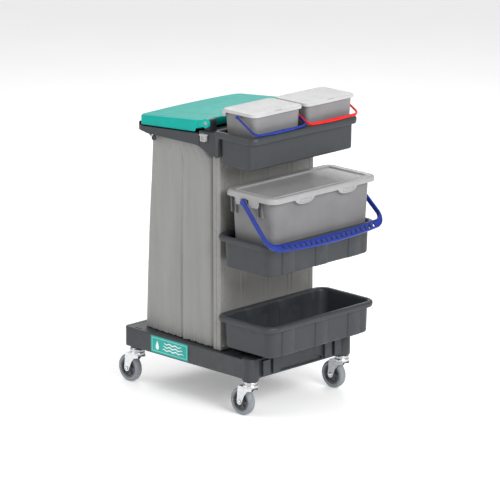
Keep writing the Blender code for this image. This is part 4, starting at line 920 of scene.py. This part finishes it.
def bag_fold(along, level, seed):
    """Outward offset of the cloth at a place along one face, 0 to 1, and a level, 0 low to 1 high."""
    drift = 0.05 * (1.0 - level)
    total = 0.0
    for centre, width, height, reach in BAG_FOLDS:
        centre += seed * 0.04 * sin(13.0 * centre + 5.0 * seed)
        fade = 0.4 + 0.6 * sin(pi * min(1.0, level * 0.9 + 0.35 * reach)) ** 0.8
        total += height * fade * bump(along - centre - drift * (1.6 * centre - 0.5), width)
    gather = max(0.0, (level - 0.82) / 0.18)
    total += 0.0007 * gather * sin(2 * pi * along * 6 + 2.4 * sin(8 * along + seed))
    hem = max(0.0, 1.0 - level / 0.05)
    total += 0.0015 * hem * sin(2 * pi * along * 23 + 3.0 * sin(7 * along + seed))
    return total


def puckers(x, z, low, high):
    """Short slanting wrinkles in the side below the neck and a crease near the hem, as an offset."""
    total = 0.0
    for share, drop, length, slant, depth in BAG_PUCKERS:
        at = high.z - drop
        middle = low.x + (high.x - low.x) * share + (z - at) * slant
        total += depth * bump(x - middle, 0.0055) * bump(z - at, length)
    return total


def waste_bag():
    """One skin of cloth, folded and puckered, closed by a floor and by its inside."""
    low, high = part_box("waste_bag")
    shoulder_z, neck_z = high.z - 0.065, high.z - 0.035
    foot = ring(low.x, high.x, high.y, 0.03, low.z, rear=0.04)
    shoulder = ring(low.x + 0.069, high.x - 0.003, high.y, 0.03, shoulder_z, rear=0.038)
    neck = ring(low.x + 0.072, high.x - 0.0355, high.y, 0.03, neck_z, rear=0.034)
    foot_pull, end_pull = 0.03, 0.1  # how far the sides draw in at the foot, everywhere and at the end
    rings = [foot, shoulder, neck, neck._replace(z=high.z)]

    def ring_at(z):
        for a, b in zip(rings, rings[1:]):
            if z <= b.z or b is rings[-1]:
                return blend_rings(a, b, max(0.0, min(1.0, (z - a.z) / (b.z - a.z))))

    centre = Vector(((low.x + high.x) / 2, 0))
    loops = []
    for row in range(BAG_LEVELS + 1):
        z = low.z + (high.z - low.z) * row / BAG_LEVELS
        level = min(1.0, (z - low.z) / (shoulder_z - low.z))
        hidden = max(0.0, (z - shoulder_z) / (high.z - shoulder_z))
        shape = ring_at(z)
        plan = even_loop(shape, BAG_ROUND)
        loop = []
        for index, (x, flat_y) in enumerate(plan):
            slack = (1.0 - level) ** 0.8
            pull = foot_pull + end_pull * (shape.front - x) / (shape.front - shape.back)
            y = flat_y * (1.0 - slack * pull)
            before, after = plan[index - 1], plan[(index + 1) % BAG_ROUND]
            normal = Vector((after[1] - before[1], before[0] - after[0])).normalized()
            on_side = abs(normal.y) ** 2
            on_end = abs(normal.x) ** 2
            along_x = (x - shape.back) / (shape.front - shape.back)
            along_y = (flat_y + shape.half) / (2 * shape.half)
            seed = 0.0 if y < 0 else 1.7
            offset = on_side * bag_fold(along_x, level, seed)
            end_fold = bag_fold(along_y, level, 3.1)
            offset += on_end * (end_fold if x < centre.x else min(0.0, end_fold) * 0.5 - 0.001)
            ripple = noise.noise(Vector((x * 7 + y * 7, z * 1.6, 4.0))) * 0.0026
            ripple += noise.noise(Vector((x * 30 + y * 30, z * 9.0, 9.0))) * 0.0006
            ripple += puckers(x, z, low, high) * on_side
            belly = 0.003 * sin(pi * min(1.0, level)) * (on_side + (on_end if x < centre.x else 0.0))
            shift = (offset + ripple + belly) * (1.0 - 0.85 * hidden)
            if x > centre.x and on_end > 0.2:
                shift = min(shift, 0.0012)
            hem = 0.0022 * max(0.0, 1 - level / 0.03)
            wave = hem * sin(2 * pi * (along_x + along_y) * 11) * (on_side + on_end)
            loop.append((x + normal.x * shift, y + normal.y * shift, z + max(0.0, wave)))
        loops.append(loop)

    def pulled_in(x, y, z):
        inward = Vector((x - centre.x, y)).normalized()
        return x - CLOTH * inward.x, y - CLOTH * inward.y, z

    inner = [[pulled_in(*point) for point in loop] for loop in loops[::6]]
    inner[0] = [(x, y, low.z + 0.004) for x, y, z in inner[0]]
    floor = []
    for share in (0.4, 0.97):
        level_z = low.z + 0.0035 + 0.003 * (1 - share)
        floor.append([(centre.x + (x - centre.x) * share, y * share, level_z) for x, y, z in loops[0]])
    inner_floor = [[(x, y, z + 0.002) for x, y, z in loop] for loop in reversed(floor)]
    bm = skin(floor + loops + inner[::-1] + inner_floor)
    bag = stand_for("waste_bag", "waste_bag_cloth", bm, VINYL)
    shade(bag, angle=75)


# ---------------------------------------------------------------- handles

HandleShape = namedtuple("HandleShape", "reach bow rest corner arm_half spread arm bar channel")


def handle_path(form, arc_steps=14, bar_steps=24):
    """Points (reach, y, share of bar) along a bail handle, in the plane that it swings in."""
    straight = form.reach - form.corner
    path = [(straight * s, -(form.arm_half + (form.spread - form.arm_half) * s), 0.0)
            for s in (0.0, 0.08, 0.2, 0.4, 0.6, 0.8)]
    for step in range(arc_steps + 1):
        angle = pi / 2 * step / arc_steps
        path.append((straight + form.corner * sin(angle), -form.spread + form.corner * (1 - cos(angle)),
                     step / arc_steps))
    inner = form.spread - form.corner
    for step in range(1, bar_steps + 1):
        share = step / bar_steps
        path.append((form.reach + form.bow * (1 - (1 - share) ** 2), -inner * (1 - share), 1.0))
    return path + [(s, -y, b) for s, y, b in reversed(path[:-1])]


def handle_strap(form, pivot, y_centre):
    """Skin a strap along the handle's path. Its faces sink between two flanges along the bar."""
    def section(blend):
        sunk = 1.0 - form.channel * blend
        groove = 1.0 - 0.3 * (1.0 - blend)
        edge = [(-1.0, 0.58), (-0.93, 0.86), (-0.8, 1.0), (-0.66, 1.0), (-0.58, sunk), (0.58, sunk),
                (0.66, 1.0), (0.8, 1.0), (0.93, 0.86), (1.0, 0.58), (groove, 0.44)]
        return [(-groove, 0.44)] + edge + [(u, -v) for u, v in reversed(edge)] + [(-groove, -0.44)]

    path = handle_path(form)
    loops = []
    for index, (s, y, blend) in enumerate(path):
        before, after = path[max(index - 1, 0)], path[min(index + 1, len(path) - 1)]
        along = Vector((after[0] - before[0], after[1] - before[1])).normalized()
        eased = blend * blend * (3 - 2 * blend)
        width = form.arm[0] + (form.bar[0] - form.arm[0]) * eased
        depth = form.arm[1] + (form.bar[1] - form.arm[1]) * eased
        loop = []
        for u, v in section(eased):
            out_s = s + along.y * u * width / 2
            out_y = y - along.x * u * width / 2
            lift = v * depth / 2
            loop.append((pivot[0] + out_s * cos(form.rest) + lift * sin(form.rest), y_centre + out_y,
                         pivot[1] - out_s * sin(form.rest) + lift * cos(form.rest)))
        loops.append(loop)
    return skin(loops)


def through_bar(centre, rest, points, below, above, bm=None):
    """Extrude a plan of (along the reach, y) through a handle that lies at its rest angle."""
    out, up = Vector((cos(rest), 0, -sin(rest))), Vector((sin(rest), 0, cos(rest)))
    plan = [centre + out * a + Vector((0, b, 0)) for a, b in points]
    return skin([[p - up * below for p in plan], [p + up * above for p in plan]], bm=bm)


def handle(node, name, form, pivot, y, eye_r, bore_r, look):
    """A bail handle with an eye at each end, closed over the bucket's pivots."""
    made = stand_for(node, name, handle_strap(form, pivot, y), look)
    for side in SIDES.values():
        inner, outer = form.arm_half - form.arm[0] / 2, form.arm_half + form.arm[0] / 2
        join(made, rod_y(pivot, eye_r, *across(side, inner, outer, y), 36))
        blind = across(side, inner - 0.01, outer - BLIND_CAP, y)
        cut(made, rod_y(pivot, bore_r, *blind))
    return made


# ---------------------------------------------------------------- large bucket

def large_pivot():
    """The axis (x, z) of the large handle, read from its joint."""
    for joint in frame["record"]["behaviour"]["joints"]:
        if joint["name"] == "large_handle_swing":
            origin = joint["pos_m"]
            return origin[0], origin[2]
    raise SystemExit("the record has no large_handle_swing")


def large_bucket():
    """The large tub with its pivots and the clip ribs of its sides."""
    low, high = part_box("large_bucket")
    lid_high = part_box("large_bucket_lid")[1]
    pivot = large_pivot()
    flange, taper, wall = 0.008, 0.0145, 0.003
    x = (low.x + flange, high.x - flange)
    half = lid_high.y - 0.0185
    bottom, top = low.z, high.z
    body = ring(*x, half, 0.03, top)
    foot = grown(body, -taper, z=bottom)
    rings = stack(foot, (-0.08, bottom), (-0.006, bottom), (0.0, bottom + 0.006))
    rings += stack(body, (-0.0004, top - 0.0082), (flange, top - 0.008), (flange - 0.0005, top), (-wall, top))
    rings += stack(foot, (-wall, bottom + wall + 0.006), (-wall - 0.006, bottom + wall),
                   (-0.08, bottom + wall))
    tub = stand_for("large_bucket", "large_tub", skin_rings(softened(rings, 0.0022, 3), steps=12), LARGE_TUB)
    for side in SIDES.values():
        wall_y = half - 0.004
        join(tub, rod_y(pivot, 0.006, *across(side, wall_y, high.y - BLIND_CAP - AIR)))
        join(tub, rod_y(pivot, 0.01, *across(side, wall_y, lid_high.y + 0.001)))
        rib_top, rib_low, rib_out = top - 0.009, top - 0.072, 0.0065
        for rib_x in (pivot[0] - 0.077, pivot[0] - 0.056, pivot[0] + 0.048, pivot[0] + 0.069):
            profile = [(side * (half - 0.006), rib_top), (side * (half + rib_out), rib_top),
                       (side * (half + rib_out - 0.002), rib_low + 0.004), (side * (half - 0.006), rib_low)]
            join(tub, prism_x(profile, rib_x - 0.0016, rib_x + 0.0016))
    shade(tub, 0.0007, angle=45, segments=2)


def large_lid():
    """A rimmed lid with a border groove, grips in front and tabs at the sides."""
    low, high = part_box("large_bucket_lid")
    pivot = large_pivot()
    top, skirt_low = high.z, high.z - 0.019
    rim_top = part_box("large_bucket")[1].z
    edge = ring(low.x, high.x, high.y, 0.035, top)
    border = grown(edge, -0.03)
    under = rim_top + AIR
    rings = stack(edge, (-0.08, under), (-0.006, under), (-0.003, under - 0.002),
                  (-0.003, skirt_low + 0.0003), (-0.0027, skirt_low), (-0.0004, skirt_low),
                  (0.0, skirt_low + 0.0005), (-0.0006, top - 0.0075), (-0.0022, top - 0.003),
                  (-0.006, top - 0.0004), (-0.012, top))
    rings += stack(border, (0.008, top - 0.0022), (0.005, top - 0.0022), (0.0036, top), (0.001, top),
                   (-0.0006, top - 0.0022), (-0.003, top - 0.0052), (-0.01, top - 0.006))
    rings += stack(edge, (-0.08, top - 0.006))
    lid = stand_for("large_bucket_lid", "large_cover", skin_rings(rings, steps=14), LARGE_LID)

    thick = 0.003
    for side in SIDES.values():
        centre = side * 0.105
        grip_half, drop = 0.048, 0.0175
        lobe = [(centre - grip_half, skirt_low + 0.006)]
        for step in range(17):
            t = -1 + 2 * step / 16
            lobe.append((centre + t * grip_half, skirt_low - drop * (1 - abs(t) ** 3.2) ** 0.9))
        lobe.append((centre + grip_half, skirt_low + 0.006))
        join(lid, prism_x(lobe, high.x - thick, high.x))
        hollow = soft_rectangle((centre - 0.03, centre + 0.03), (skirt_low - 0.0125, skirt_low + 0.001),
                                0.006, 6)
        cut(lid, prism_x(hollow, high.x - 0.0014, high.x + 0.01))
        boss = soft_rectangle((centre - 0.02, centre + 0.02), (skirt_low - 0.009, skirt_low - 0.0025),
                              0.0032, 6)
        join(lid, prism_x(boss, high.x - 0.002, high.x - 0.0001))

        face = across(side, high.y - thick, high.y)
        lobes = ((pivot[0] - 0.045, pivot[0] - 0.018), (pivot[0] + 0.018, pivot[0] + 0.068))
        for x0, x1 in lobes:
            tab_low = low.z + 0.0005
            points = [(x0, skirt_low + 0.006), (x0 + 0.002, tab_low + 0.01), (x0 + 0.007, tab_low),
                      (x1 - 0.007, tab_low), (x1 - 0.002, tab_low + 0.01), (x1, skirt_low + 0.006)]
            join(lid, prism_y(points, *face))
            panel = soft_rectangle((x0 + 0.006, x1 - 0.006), (tab_low + 0.006, skirt_low - 0.003), 0.0025)
            cut(lid, prism_y(panel, *across(side, high.y - 0.001, high.y + 0.01)))
        notch = soft_rectangle((pivot[0] - 0.015, pivot[0] + 0.015), (low.z - 0.03, pivot[1] + 0.0125),
                               0.01, 8)
        cut(lid, prism_y(notch, *across(side, high.y - thick - 0.002, high.y + 0.01)))
        nib = (high.x - 0.03, side * (high.y - 0.03), 0)
        profile = [(0.0045, top - 0.004), (0.0042, top - 0.0008), (0.003, top - 0.0001), (0.0008, top)]
        join(lid, turned(profile, nib, "Z", 20))
    shade(lid, 0.0006, angle=42, segments=2)


def large_handle():
    """A broad bail, with a row of slots and finger ridges along its bar."""
    pivot = large_pivot()
    form = HandleShape(reach=0.2034, bow=0.012, rest=radians(43.4), corner=0.045, arm_half=0.2665,
                       spread=0.279, arm=(0.007, 0.0165), bar=(0.03, 0.011), channel=0.55)
    bar = handle("large_bucket_handle", "large_bail", form, pivot, 0.0, 0.0105, 0.0064, BLUE)
    half_run = form.spread - form.corner
    count, length, width = 19, 0.0155, 0.0122
    pitch = 2 * half_run / count
    out = Vector((cos(form.rest), 0, -sin(form.rest)))
    slots = bmesh.new()
    for number in range(count):
        y = (number - (count - 1) / 2) * pitch
        share = 1 - abs(y) / half_run
        middle = form.reach + form.bow * (1 - (1 - share) ** 2)
        centre = Vector((pivot[0], y, pivot[1])) + out * middle
        hole = soft_rectangle((-length / 2, length / 2), (-width / 2, width / 2), 0.0024, 4)
        through_bar(centre, form.rest, hole, 0.02, 0.02, bm=slots)
    cut(bar, slots)
    ridges, ridge_pitch, ridge_half = 9, 0.012, 0.0052
    ridge = soft_rectangle((-0.0034, 0.002), (-0.0036, 0.0036), 0.0024, 5)
    inner_edge = form.reach + form.bow - form.bar[0] / 2
    for number in range(ridges):
        y = (number - (ridges - 1) / 2) * ridge_pitch
        centre = Vector((pivot[0], y, pivot[1])) + out * (inner_edge + 0.0004)
        join(bar, through_bar(centre, form.rest, ridge, ridge_half, ridge_half))
    shade(bar, 0.0006, angle=35, segments=2)


# ---------------------------------------------------------------- small buckets

SMALL_ARM_HALF = 0.124          # pivot to pivot, halved
SMALL_ARM = (0.0045, 0.0065)    # across the arm, and through it


def small_bucket(colour, look):
    """A small tub with its pivots, lid and handle."""
    low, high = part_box(f"{colour}_bucket")
    lid_low, lid_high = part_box(f"{colour}_bucket_lid")
    y = (lid_low.y + lid_high.y) / 2
    top = high.z
    lid_half = (lid_high.y - lid_low.y) / 2
    half = lid_half - 0.008
    x = (lid_low.x + 0.006, lid_high.x - 0.006)
    hinge = (lid_low.x + 0.015, lid_high.z - 0.019)
    pivot = (lid_low.x + 0.0823, lid_high.z - 0.0186)

    body = ring(*x, half, 0.02, top)
    foot = grown(body, -0.011, z=low.z)
    wall = 0.0025
    rings = stack(foot, (-0.05, low.z), (-0.005, low.z), (0.0, low.z + 0.005))
    rings += stack(body, (-0.0006, top - 0.009), (0.001, top - 0.008), (0.001, top - 0.0005), (0.0004, top),
                   (-wall, top))
    rings += stack(foot, (-wall, low.z + wall + 0.004), (-wall - 0.004, low.z + wall), (-0.05, low.z + wall))
    tub_bm = skin_rings(softened(rings, 0.0012, 3), y=y, steps=10)
    tub = stand_for(f"{colour}_bucket", f"{colour}_tub", tub_bm, BUCKET)
    for side in SIDES.values():
        spans = ((pivot, 0.003, half - 0.0018, SMALL_ARM_HALF + SMALL_ARM[0] / 2 - BLIND_CAP - AIR),
                 (pivot, 0.006, half - 0.0018, SMALL_ARM_HALF - SMALL_ARM[0] / 2 - 0.0008),
                 (hinge, 0.0025, half - 0.006, lid_half - 0.0005))
        for axis, radius, root, reach in spans:
            join(tub, rod_y(axis, radius, *across(side, root, reach, y), 24))
        lug = soft_rectangle((pivot[0] - 0.0085, pivot[0] + 0.0085), (pivot[1] - 0.0025, top - 0.007), 0.0018)
        join(tub, prism_y(lug, *across(side, half - 0.0018, lid_half - 0.0008, y)))
    shade(tub, 0.0005, angle=45, segments=2)

    small_lid(colour, y, lid_low, lid_high, hinge)
    small_handle(colour, y, pivot, look)


def small_handle(colour, y, pivot, look):
    """A small bucket's bail, with a swollen grip that has a notch in its middle."""
    form = HandleShape(reach=0.1053, bow=0.002, rest=radians(29.3), corner=0.022, arm_half=SMALL_ARM_HALF,
                       spread=SMALL_ARM_HALF, arm=SMALL_ARM, bar=(0.0075, 0.0075), channel=0.0)
    bail = handle(f"{colour}_bucket_handle", f"{colour}_bail", form, pivot, y, 0.006, 0.0034, look)
    out = Vector((cos(form.rest), 0, -sin(form.rest)))
    up = Vector((sin(form.rest), 0, cos(form.rest)))
    grip_half, thick = 0.062, 0.005
    centre = Vector((pivot[0], y, pivot[1])) + out * (form.reach + form.bow * 0.9)
    turn = [2 * pi * step / 16 for step in range(16)]
    grip = []
    for step in range(25):
        t = -1 + 2 * step / 24
        swell = thick * (1 - abs(t) ** 4) ** 0.5 + 0.0008
        middle = centre + Vector((0, t * grip_half, 0))
        grip.append([middle + (out * cos(a) + up * sin(a)) * swell for a in turn])
    join(bail, skin(grip))
    corners = ((-0.006, -0.0028), (0.006, -0.0028), (0.006, 0.0028), (-0.006, 0.0028))
    cut(bail, through_bar(centre + up * thick, form.rest, corners, 0.0016, 0.006))
    shade(bail, 0.0004, angle=40, segments=2)


def small_lid(colour, y, low, high, hinge):
    """A small bucket's lid: fine raised lines, a thumb hollow and an ear over each hinge pin."""
    top, plate = high.z, 0.002
    edge = ring(low.x, high.x, (high.y - low.y) / 2, 0.023, top)
    back = edge.back + 0.012

    def lower(x):
        return top - 0.0055 if x <= back else top - 0.0055 - 0.0055 * min(1.0, (x - back) / 0.006)

    def loop(amount, z):
        inner = grown(edge, -amount)
        quarters = quarters_of(inner, y, 10)
        run = (inner.back + inner.rear, inner.front - inner.corner)
        stations = [run[0] + (run[1] - run[0]) * (i + 1) / 10 for i in range(9)]
        left = [(x, y - inner.half) for x in stations]
        right = [(x, y + inner.half) for x in reversed(stations)]
        return lifted(quarters[0] + quarters[1] + right + quarters[2] + quarters[3] + left, z)

    levels = [(0.021, top - plate), (0.004, top - plate), (0.0021, top - plate - 0.001),
              (0.002, lambda x: lower(x) + 0.0003), (0.0004, lower), (0.0, lambda x: lower(x) + 0.0004),
              (0.0, top - 0.003), (0.0005, top - 0.0013), (0.0016, top - 0.0003), (0.003, top), (0.021, top)]
    cover = stand_for(f"{colour}_bucket_lid", f"{colour}_cover", skin([loop(*level) for level in levels]),
                      SMALL_LID)
    for side in SIDES.values():
        ear = arc(hinge, 0.0065, 180, 360, 14) + [(hinge[0] + 0.0065, top - 0.003),
                                                  (hinge[0] - 0.0065, top - 0.003)]
        join(cover, prism_y(ear, *across(side, edge.half - 0.002, edge.half, y)))
        bore = across(side, edge.half - 0.003, edge.half + 0.003, y)
        cut(cover, rod_y(hinge, 0.0029, *bore, 24))
    thumb_half, thumb_depth = 0.019, 0.011
    turn = [pi * step / 20 for step in range(21)]
    moon = [(high.x - 0.0026 - thumb_depth * sin(a), y + thumb_half * cos(a)) for a in turn]
    cut(cover, skin([lifted(moon, lambda x: top - 0.0013 - 0.003 * max(0.0, (x - high.x + 0.012) / 0.012)),
                     lifted(moon, top + 0.01)]))
    count, groove = 10, 0.0016
    first, last = edge.back + 0.02, edge.front - 0.03
    grooves = bmesh.new()
    for number in range(count):
        x = first + (last - first) * number / (count - 1)
        box((x - groove / 2, x + groove / 2), (y - edge.half + 0.016, y + edge.half - 0.016),
            (top - 0.0007, top + 0.01), bm=grooves)
    cut(cover, grooves)
    shade(cover, 0.0003, angle=42, segments=2)


# ---------------------------------------------------------------- casters

SPOKES = 6


def caster(tag):
    """A swivel head, a fork, an axle bolt, a spoked wheel centre and a tyre."""
    head_low, head_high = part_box(f"caster_head_{tag}")
    fork_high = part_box(f"caster_fork_{tag}")[1]
    axle_low, axle_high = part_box(f"caster_axle_{tag}")
    tyre_low, tyre_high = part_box(f"wheel_tyre_{tag}")
    hub_low, hub_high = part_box(f"wheel_hub_{tag}")
    x, y = (head_low.x + head_high.x) / 2, (head_low.y + head_high.y) / 2
    axle = Vector(((tyre_low.x + tyre_high.x) / 2, y, (tyre_low.z + tyre_high.z) / 2))
    radius, wide = (head_high.x - head_low.x) / 2, (tyre_high.y - tyre_low.y) / 2

    plate_low = fork_high.z + AIR
    nut_top = fork_high.z - 0.0175
    head = [(0.0085, head_low.z), (0.01, head_low.z + 0.001), (0.01, nut_top), (0.006, nut_top),
            (0.006, plate_low), (radius - 0.006, plate_low), (radius - 0.0012, plate_low + 0.0012),
            (radius, plate_low + 0.0035), (radius - 0.0008, plate_low + 0.006),
            (radius - 0.0035, head_high.z - 0.0018), (radius - 0.0045, head_high.z)]
    shade(stand_for(f"caster_head_{tag}", f"swivel_plate_{tag}", turned(head, (x, y, 0), "Z", 48), ZINC))

    inside, plate = wide + 0.003, 0.0025
    outer = inside + plate
    crown = fork_high.z - 0.017
    top = crown + plate
    foot = arc((axle.x - x, axle.z), 0.0115, 178, 332, 20)
    cheek = [(0.021, top - 0.001), (0.02, top), (-0.0415, top), (-0.043, top - 0.002),
             (-0.0448, crown - 0.004)]
    cheek += foot + [(-0.0135, crown - 0.03), (0.001, crown - 0.0125), (0.021, crown - 0.008)]
    fork_bm = prism_y([(x + px, pz) for px, pz in cheek], y - outer, y + outer)
    fork = stand_for(f"caster_fork_{tag}", f"fork_{tag}", fork_bm, ZINC)
    cut(fork, box((x - 0.1, x + 0.06), (y - inside, y + inside), (0.0, crown)))
    cup = [(radius - 0.005, crown + 0.001), (radius - 0.001, crown + 0.004), (radius, crown + 0.007),
           (radius - 0.0006, crown + 0.0105), (radius - 0.0022, crown + 0.0125),
           (radius - 0.006, crown + 0.013), (radius - 0.0064, crown + 0.0158), (radius - 0.008, fork_high.z)]
    join(fork, turned(cup, (x, y, 0), "Z", 48))
    cut(fork, turned([(0.0064, 0.09), (0.0064, 0.14)], (x, y, 0), "Z", 32))
    cut(fork, rod_y((axle.x, axle.z), 0.0043, y - 0.03, y + 0.03))
    shade(fork, 0.0007)

    seat, end = outer + AIR, (axle_high.y - axle_low.y) / 2
    bolt = [(0.0055, -end), (0.0072, -end + 0.0008), (0.0075, -end + 0.0018), (0.0075, -seat), (0.004, -seat),
            (0.004, seat), (0.0075, seat)]
    pin = turned(bolt, axle, "Y", 36)
    made = stand_for(f"caster_axle_{tag}", f"axle_bolt_{tag}", pin, ZINC)
    hexagon = arc((axle.x, axle.z), 0.0074, 0, 300, 5)
    join(made, prism_y(hexagon, y + seat - 0.0005, y + end))
    socket = arc((axle.x, axle.z), 0.0032, 0, 300, 5)
    cut(made, prism_y(socket, y - end - 0.01, y - end + 0.0022))
    shade(made, 0.0004)

    half_hub, rim = (hub_high.y - hub_low.y) / 2, (hub_high.x - hub_low.x) / 2
    rim_y = wide - 0.001
    half = [(0.0044, half_hub), (0.0105, half_hub), (0.012, half_hub - 0.0015), (0.0128, 0.005),
            (0.015, 0.0042), (rim - 0.008, 0.0042), (rim - 0.006, 0.0055), (rim - 0.005, rim_y - 0.0008),
            (rim - 0.0038, rim_y), (rim - 0.001, rim_y)]
    profile = half + [(rim, rim_y - 0.001), (rim, -rim_y + 0.001)] + [(r, -h) for r, h in reversed(half)]
    hub = stand_for(f"wheel_hub_{tag}", f"wheel_centre_{tag}", turned(profile, axle, "Y", 64, closed=True),
                    HUB)
    for number in range(1, SPOKES + 1):
        spoke = box((axle.x + 0.0115, axle.x + rim - 0.0045), (y - rim_y + 0.003, y + rim_y - 0.003),
                    (axle.z - 0.0014, axle.z + 0.0014))
        turn = Matrix.Rotation(2 * pi * number / SPOKES, 3, "Y")
        bmesh.ops.rotate(spoke, verts=spoke.verts, cent=axle, matrix=turn)
        join(hub, spoke)
    shade(hub, 0.0005, segments=2)

    tread_r = (tyre_high.z - tyre_low.z) / 2
    half = [(rim + 0.0002, wide - 0.0018), (rim + 0.0016, wide - 0.0006), (rim + 0.006, wide),
            (tread_r - 0.0055, wide - 0.0004), (tread_r - 0.0026, wide - 0.002),
            (tread_r - 0.0008, wide - 0.005), (tread_r - 0.0001, wide - 0.0085), (tread_r, wide - 0.0105)]
    profile = half + [(r, -h) for r, h in reversed(half)]
    tyre = stand_for(f"wheel_tyre_{tag}", f"tyre_{tag}", turned(profile, axle, "Y", 96, closed=True), TYRE)
    shade(tyre, angle=50)


# ---------------------------------------------------------------- stage, lights and camera

LENS = 266.4                    # on a sensor 36 mm wide
CAMERA_PLACE = (8.86629, -8.85475, 3.86443)
CAMERA_AZIMUTH, CAMERA_ELEVATION = radians(45), radians(15)
LAMP_TARGET = Vector((0.0, 0.0, 0.5))
LAMPS = {"key": ((4.0, -0.9, 2.9), 2.4, 175.0), "fill": ((-2.2, -3.4, 2.2), 2.8, 34.0),
         "back": ((-2.6, 2.6, 3.6), 2.2, 70.0)}  # place, size and power
SKY_STRENGTH, FLOOR_GLOW = 0.64, 0.2


def surroundings():
    """A plain pale floor, soft studio light and the camera."""
    floor = as_object("floor", box((-30.0, 30.0), (-30.0, 30.0), (-0.02, -0.0002)))
    look = Finish("floor_look")
    tone = look.mottled(3.0, 3.0, (0.93, 0.93, 0.93), (0.95, 0.95, 0.95))
    look.link(tone, look.shader.inputs["Base Color"])
    look.shader.inputs["Roughness"].default_value = 0.55
    look.shader.inputs["Specular IOR Level"].default_value = 0.25
    look.shader.inputs["Emission Color"].default_value = (1.0, 1.0, 1.0, 1.0)
    look.shader.inputs["Emission Strength"].default_value = FLOOR_GLOW
    floor.data.materials.append(look.material)

    world = bpy.data.worlds.new("studio")
    world.use_nodes = True
    sky = world.node_tree.nodes["Background"]
    sky.inputs["Color"].default_value = (1.0, 1.0, 1.0, 1.0)
    sky.inputs["Strength"].default_value = SKY_STRENGTH
    bpy.context.scene.world = world
    bpy.context.scene.view_settings.view_transform = "Standard"

    for name, (place, size, power) in LAMPS.items():
        data = bpy.data.lights.new(name, "AREA")
        data.shape = "DISK"
        data.size = size
        data.energy = power
        lamp = bpy.data.objects.new(name, data)
        lamp.location = place
        lamp.rotation_euler = (LAMP_TARGET - lamp.location).to_track_quat("-Z", "Y").to_euler()
        bpy.context.collection.objects.link(lamp)

    data = bpy.data.cameras.new("camera")
    data.sensor_width = 36.0
    data.lens = LENS
    data.clip_end = 100.0
    camera = bpy.data.objects.new("camera", data)
    camera.location = CAMERA_PLACE
    azimuth, elevation = CAMERA_AZIMUTH, CAMERA_ELEVATION
    heading = Vector((-sin(azimuth) * cos(elevation), cos(azimuth) * cos(elevation), -sin(elevation)))
    camera.rotation_euler = heading.to_track_quat("-Z", "Y").to_euler()
    bpy.context.collection.objects.link(camera)
    bpy.context.scene.camera = camera


surroundings()
base()
label()
column()
screw_caps()
lower_tray("bottom_tray", "bottom_tray_shell")
lower_tray("middle_tray", "middle_tray_shell")
top_tray()
brackets()
bag_frame()
for side_name, side in SIDES.items():
    hinge(side_name, side)
    latch(side_name, side)
    bag_clip(side_name)
    ball_stud(side_name)
main_lid()
waste_bag()
large_bucket()
large_lid()
large_handle()
small_bucket("blue", BLUE)
small_bucket("red", RED)
for end_name in ENDS:
    for side_name in SIDES:
        caster(f"{end_name}_{side_name}")
